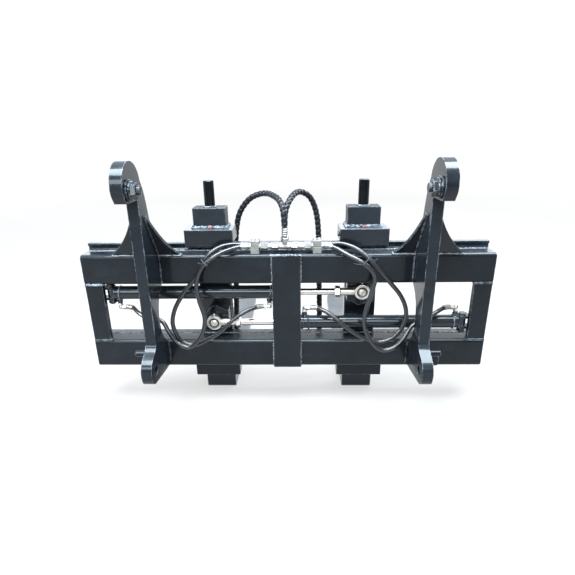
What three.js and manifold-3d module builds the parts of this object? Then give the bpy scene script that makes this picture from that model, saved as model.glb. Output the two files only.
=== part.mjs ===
// Hydraulic fork positioner with two sliding pallet forks, for a wheel loader's quick coupler.
//
// Millimetres. +X runs along the carriage, +Y is the way the forks point, +Z is up.
// The shapes are drawn with Y = 0 on the rear face of the beams and Z = 0 on the underside of
// the bottom beam. At the end the whole object is set down with its origin at the middle of
// its footprint, on the ground under the fork blades.

import * as THREE from 'three';
import { mergeVertices } from 'three/addons/utils/BufferGeometryUtils.js';
import Module from 'manifold-3d';

const wasm = await Module();
wasm.setup();

// ---- driving dimensions ---------------------------------------------------------------------

const GAP = 0.3;                    // daylight kept between pieces that touch

// frame: two box beams, two uprights and a centre plate
const HALF_WIDTH = 800;
const BEAM_TALL = 120, BEAM_DEEP = 80, BEAM_WALL = 8, BEAM_ROUND = 14;
const FRAME_TALL = 484;
const TOP_BEAM_Z = FRAME_TALL - BEAM_TALL;
const UPRIGHT_WIDE = 70, UPRIGHT_THICK = 20;
const CENTRE_HALF = 56, CENTRE_THICK = 12;

// flat rails that the forks hang on, welded to the front of the beams
const RAIL_TALL = 150, RAIL_THICK = 32, RAIL_OVERHANG = 30;
const RAIL_Y = BEAM_DEEP + GAP;
const UPPER_RAIL_TOP = FRAME_TALL + RAIL_OVERHANG;

// ears: 40 mm plates with a hooked head and a drilled foot
const EAR_INNER = 492, EAR_THICK = 40;
const EAR_REAR = -142;              // rear edge of the strip that lies on the coupler
const HEAD = { y: -178, z: 765, r: 80 };
const HEAD_SEAT_Z = 716;            // flat underside of the hooked head
const FOOT_HOLE = { y: -174, z: 82, r: 20 };
const HITCH = { y: -213, z: 756, r: 15 };

// forks
const FORK_X = 306;                 // fork centre from the middle, as parked
const FORK_WIDE = 130;
const SHANK_Y = 115, SHANK_THICK = 50;
const BLADE_TOP = -129, BLADE_THICK = 45;
const GROUND_Z = BLADE_TOP - BLADE_THICK;
const TIP_Y = 1235, TIP_THICK = 12;
const HOOK_HALF = 96, HOOK_REAR = 60, HOOK_FRONT = 175, HOOK_LIP = 19;

// cylinders: 40 mm bore, 28 mm rod, crossed one above the other
const CYL_Y = 40, UPPER_CYL_Z = 318, LOWER_CYL_Z = 186;
const BARREL_R = 25, BORE_R = 20, ROD_R = 14;
const BASE_PIN_X = 715, BARREL_BASE = 700, BARREL_MOUTH = 40;
const EYE_X = 302, EYE_R = 31, EYE_THICK = 28, EYE_BORE = 20;
const PISTON_X = 465;               // inner end of the rod, as parked
const BASE_PORT_X = 685, ROD_PORT_X = 71;
const ELBOW_DROP = 63, ELBOW_REACH = 22;

// hydraulic lines on top of the beam
const LINE_REAR = 20.5, LINE_FRONT = 46.5, LINE_Z = 511;
const HOSE_R = 8.75, SUPPLY_R = 12.6;

// ---- materials ------------------------------------------------------------------------------

const finish = (color, roughness, metalness) => () =>
  new THREE.MeshStandardMaterial({ color, roughness, metalness });
const blackPaint = finish(0x1b2026, 0.35, 0.1);
const chrome = finish(0xd8d6d0, 0.15, 1);
const zinc = finish(0xb9b8b0, 0.35, 1);
const alloy = finish(0xb3b5ad, 0.55, 0.8);
const rubber = finish(0x2a2e33, 0.6, 0);

// ---- geometry helpers -----------------------------------------------------------------------

function box(x0, x1, y0, y1, z0, z1) {
  return new THREE.BoxGeometry(x1 - x0, y1 - y0, z1 - z0)
    .translate((x0 + x1) / 2, (y0 + y1) / 2, (z0 + z1) / 2);
}

// Turns a solid drawn in (a, b) and extruded along c so that a, b, c run along the given axes.
function lay(geometry, a, b, c) {
  return geometry.applyMatrix4(new THREE.Matrix4().makeBasis(a, b, c));
}
const X = new THREE.Vector3(1, 0, 0), Y = new THREE.Vector3(0, 1, 0), Z = new THREE.Vector3(0, 0, 1);

function extrude(shape, depth, curveSegments = 10) {
  return new THREE.ExtrudeGeometry(shape, { depth, bevelEnabled: false, curveSegments });
}
// shape drawn in (y, z), running from x0 to x1
const alongX = (shape, x0, x1) => lay(extrude(shape, x1 - x0), Y, Z, X).translate(x0, 0, 0);
// shape drawn in (x, z), running from y0 to y1
const alongY = (shape, y0, y1) =>
  lay(extrude(shape, y1 - y0), X, Z, Y.clone().negate()).translate(0, y1, 0);

function outline(points) {
  return new THREE.Shape(points.map(([a, b]) => new THREE.Vector2(a, b)));
}
function circleHole(a, b, r) {
  return new THREE.Path().absarc(a, b, r, 0, 2 * Math.PI, true);
}
function roundedRect(a0, a1, b0, b1, r) {
  const s = new THREE.Shape();
  s.moveTo(a0 + r, b0).lineTo(a1 - r, b0).absarc(a1 - r, b0 + r, r, -Math.PI / 2, 0);
  s.lineTo(a1, b1 - r).absarc(a1 - r, b1 - r, r, 0, Math.PI / 2);
  s.lineTo(a0 + r, b1).absarc(a0 + r, b1 - r, r, Math.PI / 2, Math.PI);
  s.lineTo(a0, b0 + r).absarc(a0 + r, b0 + r, r, Math.PI, 1.5 * Math.PI);
  return s;
}

// Round bar or turned piece: profile is a list of [radius, position] along the given axis.
function turned(profile, axis, cx, cy, cz, segments = 28) {
  const g = new THREE.LatheGeometry(profile.map(([r, t]) => new THREE.Vector2(r, t)), segments);
  if (axis === 'x') g.rotateZ(-Math.PI / 2);
  if (axis === 'z') g.rotateX(Math.PI / 2);
  return g.translate(cx, cy, cz);
}
const rod = (r, from, to, axis, cx, cy, cz, segments) =>
  turned([[0, from], [r, from], [r, to], [0, to]], axis, cx, cy, cz, segments);
const hexagon = (acrossFlats, from, to, axis, cx, cy, cz) =>
  rod(acrossFlats / Math.sqrt(3), from, to, axis, cx, cy, cz, 6);

function tube(points, r, steps, sides = 10) {
  const through = points.map((p) => new THREE.Vector3(...p));
  const curve = new THREE.CatmullRomCurve3(through, false, 'centripetal');
  const section = new THREE.Shape();
  for (let i = 0; i <= sides; i++) {
    const a = (2 * Math.PI * i) / sides;
    section[i ? 'lineTo' : 'moveTo'](r * Math.cos(a), r * Math.sin(a));
  }
  return new THREE.ExtrudeGeometry(section, { steps, extrudePath: curve, bevelEnabled: false });
}

// ---- joining and cutting --------------------------------------------------------------------

function toSolid(geometry) {
  const g = geometry.clone();
  g.deleteAttribute('normal');
  g.deleteAttribute('uv');
  const m = mergeVertices(g, 1e-3);
  return new wasm.Manifold(new wasm.Mesh({
    numProp: 3,
    vertProperties: new Float32Array(m.attributes.position.array),
    triVerts: new Uint32Array(m.index.array),
  }));
}
function toGeometry(solid) {
  const mesh = solid.getMesh();
  const g = new THREE.BufferGeometry();
  g.setAttribute('position', new THREE.BufferAttribute(new Float32Array(mesh.vertProperties), 3));
  g.setIndex(new THREE.BufferAttribute(new Uint32Array(mesh.triVerts), 1));
  g.computeVertexNormals();
  return g;
}
const join = (first, ...others) =>
  toGeometry(others.reduce((s, g) => s.add(toSolid(g)), toSolid(first)));
const cut = (first, ...others) =>
  toGeometry(others.reduce((s, g) => s.subtract(toSolid(g)), toSolid(first)));

const assembly = new THREE.Group();
function add(name, geometry, material) {
  const mesh = new THREE.Mesh(geometry, material());
  mesh.name = name;
  assembly.add(mesh);
}
const SIDES = [['left', -1], ['right', 1]];
// x0 to x1 on the right-hand side, mirrored for the left one
const span = (side, x0, x1) => (side > 0 ? [x0, x1] : [-x1, -x0]);

// ---- frame ----------------------------------------------------------------------------------

// A rounded box tube, closed at both ends, with a drain hole in its underside near each end.
function beam(z0) {
  const section = roundedRect(0, BEAM_DEEP, z0, z0 + BEAM_TALL, BEAM_ROUND);
  const outer = alongX(section, -HALF_WIDTH, HALF_WIDTH);
  const w = BEAM_WALL;
  const inner = box(w - HALF_WIDTH, HALF_WIDTH - w, w, BEAM_DEEP - w, z0 + w, z0 + BEAM_TALL - w);
  const drain = (x) => rod(6, z0 - 5, z0 + w + 5, 'z', x, BEAM_DEEP / 2, 0, 12);
  return cut(outer, inner, drain(60 - HALF_WIDTH), drain(HALF_WIDTH - 60));
}
add('top_beam', beam(TOP_BEAM_Z), blackPaint);
add('bottom_beam', beam(0), blackPaint);

for (const [name, side] of SIDES) {
  const [x0, x1] = span(side, HALF_WIDTH - UPRIGHT_WIDE, HALF_WIDTH);
  const upright = box(x0, x1, 2, 2 + UPRIGHT_THICK, BEAM_TALL + GAP, TOP_BEAM_Z - GAP);
  add(`${name}_upright`, upright, blackPaint);
}
const centrePlate = box(-CENTRE_HALF, CENTRE_HALF, -CENTRE_THICK - GAP, -GAP, 2, FRAME_TALL - 2);
add('centre_plate', centrePlate, blackPaint);

function rail(z0) {
  const r = 5;
  const section = roundedRect(RAIL_Y, RAIL_Y + RAIL_THICK, z0, z0 + RAIL_TALL, r);
  return alongX(section, -HALF_WIDTH, HALF_WIDTH);
}
add('upper_rail', rail(UPPER_RAIL_TOP - RAIL_TALL), blackPaint);
add('lower_rail', rail(-RAIL_OVERHANG), blackPaint);

// ---- ears, gussets and hitch fittings -------------------------------------------------------

function earShape() {
  const s = new THREE.Shape();
  s.moveTo(-GAP, 16);                                        // front edge, on the bottom beam
  s.lineTo(-GAP, BEAM_TALL + 2);
  s.bezierCurveTo(-50, 150, -71, 195, -71, 245);             // scallop that the hoses pass through
  s.bezierCurveTo(-71, 300, -45, 345, -GAP, TOP_BEAM_Z - 2);
  s.lineTo(-GAP, FRAME_TALL);
  s.bezierCurveTo(-30, 560, -48, 620, -58, 670);             // front edge sweeping up to the head
  s.bezierCurveTo(-72, 730, -78, 745, HEAD.y + HEAD.r, HEAD.z + 10);
  s.absarc(HEAD.y, HEAD.z, HEAD.r, 0.12, Math.PI, false);
  s.bezierCurveTo(HEAD.y - HEAD.r, 742, -250, 738, -236, HEAD_SEAT_Z);
  s.lineTo(EAR_REAR, HEAD_SEAT_Z);                           // flat seat, then the inside corner
  s.lineTo(EAR_REAR, 186);
  s.bezierCurveTo(EAR_REAR, 140, -226, 150, -226, 92);       // heel of the foot
  s.bezierCurveTo(-226, 55, -212, 37, -185, 36);
  s.lineTo(-60, 21);
  s.lineTo(-GAP, 16);
  s.holes.push(circleHole(FOOT_HOLE.y, FOOT_HOLE.z, FOOT_HOLE.r));
  s.holes.push(circleHole(HITCH.y, HITCH.z, HITCH.r + GAP));
  return s;
}

// Gussets stand on the rear edge of the top beam and lean back along the ear.
const GUSSET_LEAN = 0.643, GUSSET_THICK = 19, GUSSET_TOP = 655;
function gusset(side, toeX, faceX, sag) {
  const foot = FRAME_TALL + GAP;
  const dir = Math.sign(toeX - faceX);
  const s = new THREE.Shape();
  s.moveTo(faceX, foot);
  s.lineTo(toeX, foot);
  s.lineTo(toeX, foot + 6);
  s.quadraticCurveTo(sag[0], sag[1], faceX + dir * 5, GUSSET_TOP);
  s.lineTo(faceX, GUSSET_TOP);
  const g = alongY(s, 0, GUSSET_THICK);
  g.applyMatrix4(new THREE.Matrix4().makeShear(0, 0, 0, 0, 0, -GUSSET_LEAN));
  g.translate(0, GUSSET_LEAN * foot, 0);
  if (side < 0) { g.scale(-1, 1, 1); flip(g); }
  return g;
}
// turns the faces the right way out again after mirroring
function flip(g) {
  const p = g.attributes.position;
  for (let i = 0; i < p.count; i += 3) {
    const a = new THREE.Vector3().fromBufferAttribute(p, i);
    const b = new THREE.Vector3().fromBufferAttribute(p, i + 1);
    p.setXYZ(i, b.x, b.y, b.z);
    p.setXYZ(i + 1, a.x, a.y, a.z);
  }
}

for (const [name, side] of SIDES) {
  const inner = EAR_INNER, outer = EAR_INNER + EAR_THICK;
  add(`${name}_ear`, alongX(earShape(), ...span(side, inner, outer)), blackPaint);
  add(`${name}_outer_gusset`, gusset(side, 668, outer + GAP, [588, 553]), blackPaint);
  add(`${name}_inner_gusset`, gusset(side, 408, inner - GAP, [456, 520]), blackPaint);

  const { y, z, r } = HITCH;
  const along = (from, to) => (side > 0 ? [from, to] : [-to, -from]);
  add(`${name}_hitch_bolt`, join(
    rod(r, ...along(inner - 40, outer + 4), 'x', 0, y, z),
    rod(r + 4, ...along(outer + GAP, outer + 7), 'x', 0, y, z),
  ), zinc);
  add(`${name}_hitch_washer`, cut(
    rod(35, ...along(inner - GAP - 7, inner - GAP), 'x', 0, y, z, 32),
    rod(r + GAP, ...along(inner - 20, inner + 10), 'x', 0, y, z),
  ), blackPaint);
  add(`${name}_hitch_nut`, cut(
    join(
      hexagon(52, ...along(inner - 31, inner - 14), 'x', 0, y, z),
      rod(30, ...along(inner - 15, inner - 2 * GAP - 7), 'x', 0, y, z),
    ),
    rod(r + GAP, ...along(inner - 60, inner + 10), 'x', 0, y, z),
  ), zinc);
  const [s0, s1] = along(outer + GAP, outer + 62);
  add(`${name}_foot_stub`, rod(12, s0, s1, 'x', 0, -98, 112, 20), blackPaint);
}

// ---- forks ----------------------------------------------------------------------------------

const HOOK_SEAT_Z = UPPER_RAIL_TOP + 1;       // underside of the top hook, riding on the rail
const HOOK_TOP_Z = 568, CROWN_TOP_Z = 647, POST_TOP_Z = 750;

function forkShape() {
  const front = SHANK_Y + SHANK_THICK;
  const s = new THREE.Shape();
  s.moveTo(SHANK_Y + 14, GROUND_Z);
  s.lineTo(780, GROUND_Z);
  s.quadraticCurveTo(1010, GROUND_Z, TIP_Y, BLADE_TOP - TIP_THICK);
  s.lineTo(TIP_Y, BLADE_TOP);
  s.lineTo(front + 25, BLADE_TOP);
  s.quadraticCurveTo(front, BLADE_TOP, front, BLADE_TOP + 25);
  s.lineTo(front, HOOK_SEAT_Z - GAP);
  s.lineTo(SHANK_Y, HOOK_SEAT_Z - GAP);
  s.lineTo(SHANK_Y, GROUND_Z + 14);
  s.quadraticCurveTo(SHANK_Y, GROUND_Z, SHANK_Y + 14, GROUND_Z);
  return s;
}
// The blade is narrowed towards its tip, seen from above.
function fork(cx) {
  const half = FORK_WIDE / 2;
  const plan = new THREE.Shape();
  plan.moveTo(cx - half, 0);
  plan.lineTo(cx + half, 0);
  plan.lineTo(cx + half, TIP_Y - 150);
  plan.quadraticCurveTo(cx + half, TIP_Y, cx + 24, TIP_Y);
  plan.lineTo(cx - 24, TIP_Y);
  plan.quadraticCurveTo(cx - half, TIP_Y, cx - half, TIP_Y - 150);
  const body = toSolid(alongX(forkShape(), cx - half, cx + half));
  const trim = toSolid(extrude(plan, 900).translate(0, 0, GROUND_Z - 10));
  return toGeometry(body.intersect(trim));
}
// hook over the upper rail, with its lip behind the rail
function topHook(cx) {
  const s = outline([
    [HOOK_REAR, HOOK_SEAT_Z - 13], [HOOK_REAR + HOOK_LIP, HOOK_SEAT_Z - 13],
    [HOOK_REAR + HOOK_LIP, HOOK_SEAT_Z], [HOOK_FRONT, HOOK_SEAT_Z],
    [HOOK_FRONT, HOOK_TOP_Z], [HOOK_REAR, HOOK_TOP_Z],
  ]);
  return alongX(s, cx - HOOK_HALF, cx + HOOK_HALF);
}
// hook under the lower rail
function bottomHook(cx) {
  const seat = -RAIL_OVERHANG - 1.5, y1 = SHANK_Y - GAP;
  const s = outline([
    [HOOK_REAR, -78], [y1, -78], [y1, seat], [HOOK_REAR + HOOK_LIP, seat],
    [HOOK_REAR + HOOK_LIP, seat + 13], [HOOK_REAR, seat + 13],
  ]);
  return alongX(s, cx - HOOK_HALF, cx + HOOK_HALF);
}
// Lug on the shank that carries the rod eye's pin. Its back rises over the eye on the left
// fork, and drops under it on the right one. It runs from the eye's far face to the shank.
function rodLug(side) {
  const z = side < 0 ? LOWER_CYL_Z : UPPER_CYL_Z;
  const up = side < 0 ? 1 : -1;
  const p = (a, b) => [side * (EYE_X + a), z + up * b];
  const s = new THREE.Shape();
  s.moveTo(...p(38, -36));
  s.lineTo(...p(38, 22));
  s.bezierCurveTo(...p(32, 52), ...p(4, 74), ...p(-16, 64));
  s.bezierCurveTo(...p(-30, 56), ...p(-40, 48), ...p(-58, 46));
  s.lineTo(...p(-58, -36));
  const g = alongY(s, CYL_Y + EYE_THICK / 2 + 3, SHANK_Y - GAP);
  const hole = rod(10.3, -200, 200, 'y', side * EYE_X, 0, z, 20);
  return cut(g, hole);
}

for (const [name, side] of SIDES) {
  const cx = side * FORK_X;
  add(`${name}_fork`, fork(cx), blackPaint);
  add(`${name}_top_hook`, topHook(cx), blackPaint);
  const crown = box(cx - 65, cx + 65, 100, HOOK_FRONT, HOOK_TOP_Z + GAP, CROWN_TOP_Z);
  add(`${name}_crown_block`, crown, blackPaint);
  add(`${name}_post`, rod(21, CROWN_TOP_Z + GAP, POST_TOP_Z, 'z', cx, 137, 0, 28), blackPaint);
  add(`${name}_bottom_hook`, bottomHook(cx), blackPaint);
  add(`${name}_rod_lug`, rodLug(side), blackPaint);
}

// ---- cylinders ------------------------------------------------------------------------------

// The upper cylinder is pinned at the left end and moves the right fork; the lower one is
// pinned at the right end and moves the left fork. `base` is the sign of the pinned end.
const CYLINDERS = [['upper', -1, UPPER_CYL_Z, 'right'], ['lower', 1, LOWER_CYL_Z, 'left']];
for (const [name, base, z, moved] of CYLINDERS) {
  const along = (from, to) => (base > 0 ? [from, to] : [-to, -from]);
  const bar = (r, from, to, n) => rod(r, ...along(from, to), 'x', 0, CYL_Y, z, n);
  // Ports point down on the upper cylinder and up on the lower one. Each carries an elbow
  // that turns towards the hose: `turn` is -1 towards the middle and 1 towards the end.
  const portDir = base;
  const port = (x, turn) => {
    const zE = z + portDir * ELBOW_DROP;
    const [a, b] = portDir > 0 ? [z + 18, zE + 9] : [zE - 9, z - 18];
    const [x0, x1] = turn < 0 ? along(x - ELBOW_REACH, x) : along(x, x + ELBOW_REACH);
    return join(
      rod(9, a, b, 'z', base * x, CYL_Y, 0, 16),
      rod(8.5, x0, x1, 'x', 0, CYL_Y, zE, 16),
      rod(12, ...(portDir > 0 ? [z + 18, z + 34] : [z - 34, z - 18]), 'z', base * x, CYL_Y, 0, 16),
    );
  };

  // barrel with its end cap, tang, ports and mouth ring, bored out for the rod
  const tang = join(
    box(...along(BARREL_BASE - 8, BASE_PIN_X), CYL_Y - 15, CYL_Y + 15, z - 16, z + 16),
    rod(15, z - 16, z + 16, 'z', base * BASE_PIN_X, CYL_Y, 0, 24),
  );
  const barrel = cut(
    join(bar(BARREL_R, BARREL_MOUTH, BARREL_BASE), bar(BARREL_R + 2.5, BARREL_MOUTH, BARREL_MOUTH + 26),
      tang, port(BASE_PORT_X, -1), port(ROD_PORT_X, 1)),
    bar(BORE_R, BARREL_MOUTH + 40, BARREL_BASE - 30),
    bar(ROD_R + 0.3, BARREL_MOUTH - 5, BARREL_MOUTH + 45),
    rod(10.3, z - 40, z + 40, 'z', base * BASE_PIN_X, CYL_Y, 0, 20),
  );
  add(`${name}_barrel`, barrel, blackPaint);

  // rod with its piston and threaded end
  const thread = EYE_X - 110;
  const rodSolid = join(
    bar(ROD_R, -thread, PISTON_X - 5),
    bar(BORE_R - GAP, PISTON_X - 34, PISTON_X),
    bar(10, -thread - 30, -thread + 5),
  );
  add(`${moved}_rod`, rodSolid, chrome);
  add(`${moved}_jam_nut`, cut(
    hexagon(41, ...along(-thread - 22, -thread - GAP), 'x', 0, CYL_Y, z),
    bar(10 + GAP, -thread - 60, -thread + 60, 20),
  ), zinc);

  // rod eye on the thread, its pin through the lug, with a ball that fills the eye
  const eyeX = -base * EYE_X;
  const ring = rod(EYE_R, -EYE_THICK / 2, EYE_THICK / 2, 'y', eyeX, CYL_Y, z, 36);
  const neck = bar(16, -EYE_X + 12, -thread - 22 - GAP);
  add(`${moved}_rod_eye`, cut(
    join(ring, neck),
    rod(EYE_BORE, -40, 40, 'y', eyeX, CYL_Y, z, 32),
    bar(10 + GAP, -thread - 34, -thread + 20, 20),
  ), zinc);
  add(`${moved}_eye_pin`, join(
    rod(EYE_BORE - GAP, -EYE_THICK / 2 - 1, EYE_THICK / 2 + 1, 'y', eyeX, CYL_Y, z, 32),
    rod(10, -EYE_THICK / 2 - 5, 60, 'y', eyeX, CYL_Y, z, 20),
  ), zinc);

  // clevis bracket welded between upright and beam, and the bolt through it
  const reach = 17 + GAP, plate = 10;
  const out = HALF_WIDTH - 38, back = 12;
  const s = new THREE.Shape();
  const p = (a, b) => [base * a, z + portDir * -1 * b];   // b grows towards the nearer beam
  const far = base < 0 ? TOP_BEAM_Z - GAP - z : z - BEAM_TALL - GAP;
  s.moveTo(...p(BASE_PIN_X - 14, reach));
  s.lineTo(...p(out - back, reach));
  s.lineTo(...p(out - back, -reach));
  s.lineTo(...p(BASE_PIN_X - 14, -reach));
  s.lineTo(...p(BASE_PIN_X - 14, -reach - plate));
  s.lineTo(...p(out, -reach - plate));
  s.lineTo(...p(out, far));
  s.lineTo(...p(out - back, far));
  s.lineTo(...p(out - back, reach + plate));
  s.lineTo(...p(BASE_PIN_X - 14, reach + plate));
  const y0 = 2 + UPRIGHT_THICK + GAP;
  add(`${name}_base_bracket`, cut(
    alongY(s, y0, CYL_Y + 19),
    rod(10.3, z - 60, z + 60, 'z', base * BASE_PIN_X, CYL_Y, 0, 20),
  ), blackPaint);
  const top = z + reach + plate + GAP, under = z - reach - plate - GAP;
  add(`${name}_base_bolt`, join(
    rod(10, under - 20, top + 5, 'z', base * BASE_PIN_X, CYL_Y, 0, 20),
    hexagon(30, top, top + 11, 'z', base * BASE_PIN_X, CYL_Y, 0),
    hexagon(30, under - 15, under, 'z', base * BASE_PIN_X, CYL_Y, 0),
  ), zinc);
}

// ---- hydraulic lines ------------------------------------------------------------------------

// One line feeds both base ports and the other both rod-end ports, so the forks always move
// together in opposite directions. Each line is a tee with a pipe and nut on either side.
const CLAMP_X0 = 103, CLAMP_X1 = 136, STEM_X = -5;
for (const [name, y] of [['rear', LINE_REAR], ['front', LINE_FRONT]]) {
  const bar = (r, from, to) => rod(r, from, to, 'x', 0, y, LINE_Z, 20);
  add(`${name}_line`, join(
    bar(8, -CLAMP_X1 - 8, CLAMP_X1 + 8),
    ...[-1, 1].flatMap((e) => [
      hexagon(22, ...(e > 0 ? [20, 44] : [-54, -30]), 'x', 0, y, LINE_Z),
      hexagon(22, ...(e > 0 ? [70, 98] : [-98, -70]), 'x', 0, y, LINE_Z),
    ]),
    bar(10.5, STEM_X - 22, STEM_X + 22),
    rod(10, LINE_Z, LINE_Z + 32, 'z', STEM_X, y, 0, 20),
    hexagon(22, LINE_Z + 20, LINE_Z + 40, 'z', STEM_X, y, 0),
  ), zinc);
}
for (const [name, side] of SIDES) {
  const [x0, x1] = span(side, CLAMP_X0, CLAMP_X1);
  const body = box(x0, x1, 8, 57, FRAME_TALL + GAP, 535);
  const bore = (y) => rod(8 + GAP, x0 - 5, x1 + 5, 'x', 0, y, LINE_Z, 20);
  const split = box(x0 - 1, x1 + 1, 0, 70, LINE_Z - 1, LINE_Z + 1);
  const bolts = [-8, 8].map((dx) => hexagon(13, 534, 541, 'z', (x0 + x1) / 2 + dx, 33.5, 0));
  const web = box(x0 + 3, x1 - 3, 30, 37, LINE_Z - 3, LINE_Z + 3);
  add(`${name}_clamp`, join(cut(body, bore(LINE_REAR), bore(LINE_FRONT), split), web, ...bolts), alloy);
}

// ---- hoses ----------------------------------------------------------------------------------

// Each cylinder hose leaves its clamp, hangs down the back of the frame in a loop and comes
// up level with its port's elbow. The loops lie in two layers, one behind the other.
const END = CLAMP_X1 + 8 + GAP;
const BASE_END = BASE_PORT_X - ELBOW_REACH - GAP, ROD_END = ROD_PORT_X + ELBOW_REACH + GAP;
const UPPER_ELBOW_Z = UPPER_CYL_Z - ELBOW_DROP, LOWER_ELBOW_Z = LOWER_CYL_Z + ELBOW_DROP;
const HOSES = {
  upper_base_hose: [
    [-END, LINE_REAR, LINE_Z], [-END - 22, LINE_REAR, LINE_Z], [-198, 6, 509], [-240, -22, 500],
    [-283, -39, 478], [-318, -43, 446], [-343, -43, 385], [-339, -43, 316], [-323, -43, 233],
    [-345, -44, 158], [-394, -45, 112], [-441, -44, 131], [-475, -34, 178], [-499, -21, 214],
    [-530, -18, 226], [-568, -14, 232], [-605, 8, 244], [-634, 34, 254],
    [-BASE_END + 8, CYL_Y, UPPER_ELBOW_Z], [-BASE_END, CYL_Y, UPPER_ELBOW_Z]],
  upper_rod_end_hose: [
    [-END, LINE_FRONT, LINE_Z], [-END - 22, LINE_FRONT, LINE_Z], [-205, 38, 516], [-250, 12, 513],
    [-296, -10, 487], [-327, -18, 442], [-350, -20, 400], [-402, -20, 337], [-447, -20, 262],
    [-459, -20, 198], [-433, -20, 130], [-378, -20, 109], [-331, -20, 128], [-271, -16, 165],
    [-219, -6, 214], [-164, 10, 246], [-122, 34, 254],
    [-ROD_END - 8, CYL_Y, UPPER_ELBOW_Z], [-ROD_END, CYL_Y, UPPER_ELBOW_Z]],
  lower_base_hose: [
    [END, LINE_REAR, LINE_Z], [END + 22, LINE_REAR, LINE_Z], [198, 6, 502], [234, -20, 486],
    [274, -37, 468], [314, -43, 440], [336, -43, 404], [325, -43, 340], [308, -43, 266],
    [305, -43, 205], [330, -44, 143], [376, -45, 99], [422, -44, 106], [463, -35, 142],
    [496, -20, 190], [548, -14, 218], [598, 8, 240], [636, 34, 248],
    [BASE_END - 8, CYL_Y, LOWER_ELBOW_Z], [BASE_END, CYL_Y, LOWER_ELBOW_Z]],
  lower_rod_end_hose: [
    [END, LINE_FRONT, LINE_Z], [END + 22, LINE_FRONT, LINE_Z], [206, 38, 517], [256, 12, 508],
    [312, -10, 472], [347, -19, 434], [396, -20, 379], [447, -20, 315], [470, -20, 250],
    [458, -20, 183], [423, -20, 140], [369, -20, 121], [323, -20, 133], [255, -16, 170],
    [200, -6, 216], [158, 12, 241], [122, 35, 249],
    [ROD_END + 8, CYL_Y, LOWER_ELBOW_Z], [ROD_END, CYL_Y, LOWER_ELBOW_Z]],
};
for (const [name, points] of Object.entries(HOSES)) add(name, tube(points, HOSE_R, 26), rubber);

// The two supply hoses rise from the tees, pass over the rail and hang in front of the
// carriage, clear of the forks, each ending in a quick coupler.
const SUPPLY_TOP = LINE_Z + 40 + GAP, COUPLER_Z = -32;
const SUPPLIES = {
  left_supply: [
    [STEM_X, LINE_REAR, SUPPLY_TOP], [STEM_X, LINE_REAR, 572], [STEM_X, LINE_REAR, 606],
    [-8, 26, 643], [-16, 45, 668], [-30, 76, 684], [-51, 114, 692], [-74, 152, 695],
    [-107, 182, 690], [-148, 200, 671], [-182, 207, 635], [-201, 208, 599], [-213, 208, 550],
    [-219, 208, 502], [-227, 208, 359], [-233, 208, 194], [-241, 208, 60],
    [-241, 208, COUPLER_Z + 8], [-241, 208, COUPLER_Z]],
  right_supply: [
    [STEM_X, LINE_FRONT, SUPPLY_TOP], [STEM_X, LINE_FRONT, 572], [STEM_X, LINE_FRONT, 601],
    [-2, 53, 638], [6, 72, 662], [24, 112, 688], [44, 150, 699], [66, 178, 695],
    [94, 196, 675], [113, 206, 640], [125, 208, 596], [131, 208, 547], [134, 208, 491],
    [137, 208, 357], [140, 208, 216], [142, 208, 63],
    [142, 208, COUPLER_Z + 8], [142, 208, COUPLER_Z]],
};
for (const [name, points] of Object.entries(SUPPLIES)) {
  add(`${name}_hose`, tube(points, SUPPLY_R, 30), rubber);
  const [x, y] = points[points.length - 1];
  const c = COUPLER_Z - GAP;
  add(`${name}_coupler`, join(
    turned([[0, c - 64], [9, c - 64], [11, c - 60], [11, c - 36], [0, c - 36]], 'z', x, y, 0, 24),
    hexagon(27, c - 40, c - 20, 'z', x, y, 0),
    rod(10.5, c - 22, c, 'z', x, y, 0, 24),
  ), zinc);
}

// ---- set the object down on the ground, centred on its footprint ----------------------------

assembly.position.set(0, -(TIP_Y + HEAD.y - HEAD.r) / 2, -GROUND_Z);
const root = new THREE.Group();
root.add(assembly);
root.updateMatrixWorld(true);

export default root;
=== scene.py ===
"""Looks of a hydraulic fork positioner with two sliding pallet forks.

Lengths are in millimetres in the maker's own frame, as on a drawing: X along the carriage,
Y the way the forks point with 0 on the rear face of the beams, Z up with 0 on the underside
of the bottom beam. SET_DOWN turns that into metres in the row frame.
"""
import bpy
import bmesh
import random
from math import copysign, cos, pi, radians, sin, sqrt
from mathutils import Matrix, Vector


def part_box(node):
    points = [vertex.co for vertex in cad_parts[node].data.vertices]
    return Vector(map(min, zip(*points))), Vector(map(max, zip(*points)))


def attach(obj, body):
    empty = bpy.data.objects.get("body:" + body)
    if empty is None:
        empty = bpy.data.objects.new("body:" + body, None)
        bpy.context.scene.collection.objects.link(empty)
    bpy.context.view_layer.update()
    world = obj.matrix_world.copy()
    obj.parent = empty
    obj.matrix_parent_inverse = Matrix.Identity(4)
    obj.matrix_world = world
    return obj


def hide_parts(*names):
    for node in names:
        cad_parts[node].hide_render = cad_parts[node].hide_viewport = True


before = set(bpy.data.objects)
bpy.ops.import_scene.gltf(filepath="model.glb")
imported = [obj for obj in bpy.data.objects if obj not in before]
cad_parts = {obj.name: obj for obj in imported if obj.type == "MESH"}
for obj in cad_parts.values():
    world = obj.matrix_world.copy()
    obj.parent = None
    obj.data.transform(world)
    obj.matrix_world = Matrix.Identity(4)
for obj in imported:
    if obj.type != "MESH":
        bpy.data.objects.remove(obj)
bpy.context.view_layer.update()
link = bpy.context.scene.collection.objects.link

# ---- the drawing's frame ----------------------------------------------------------------

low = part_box("bottom_beam")[0]
SET_DOWN = Matrix.Translation((0, low.y, low.z)) @ Matrix.Scale(0.001, 4)


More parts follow.
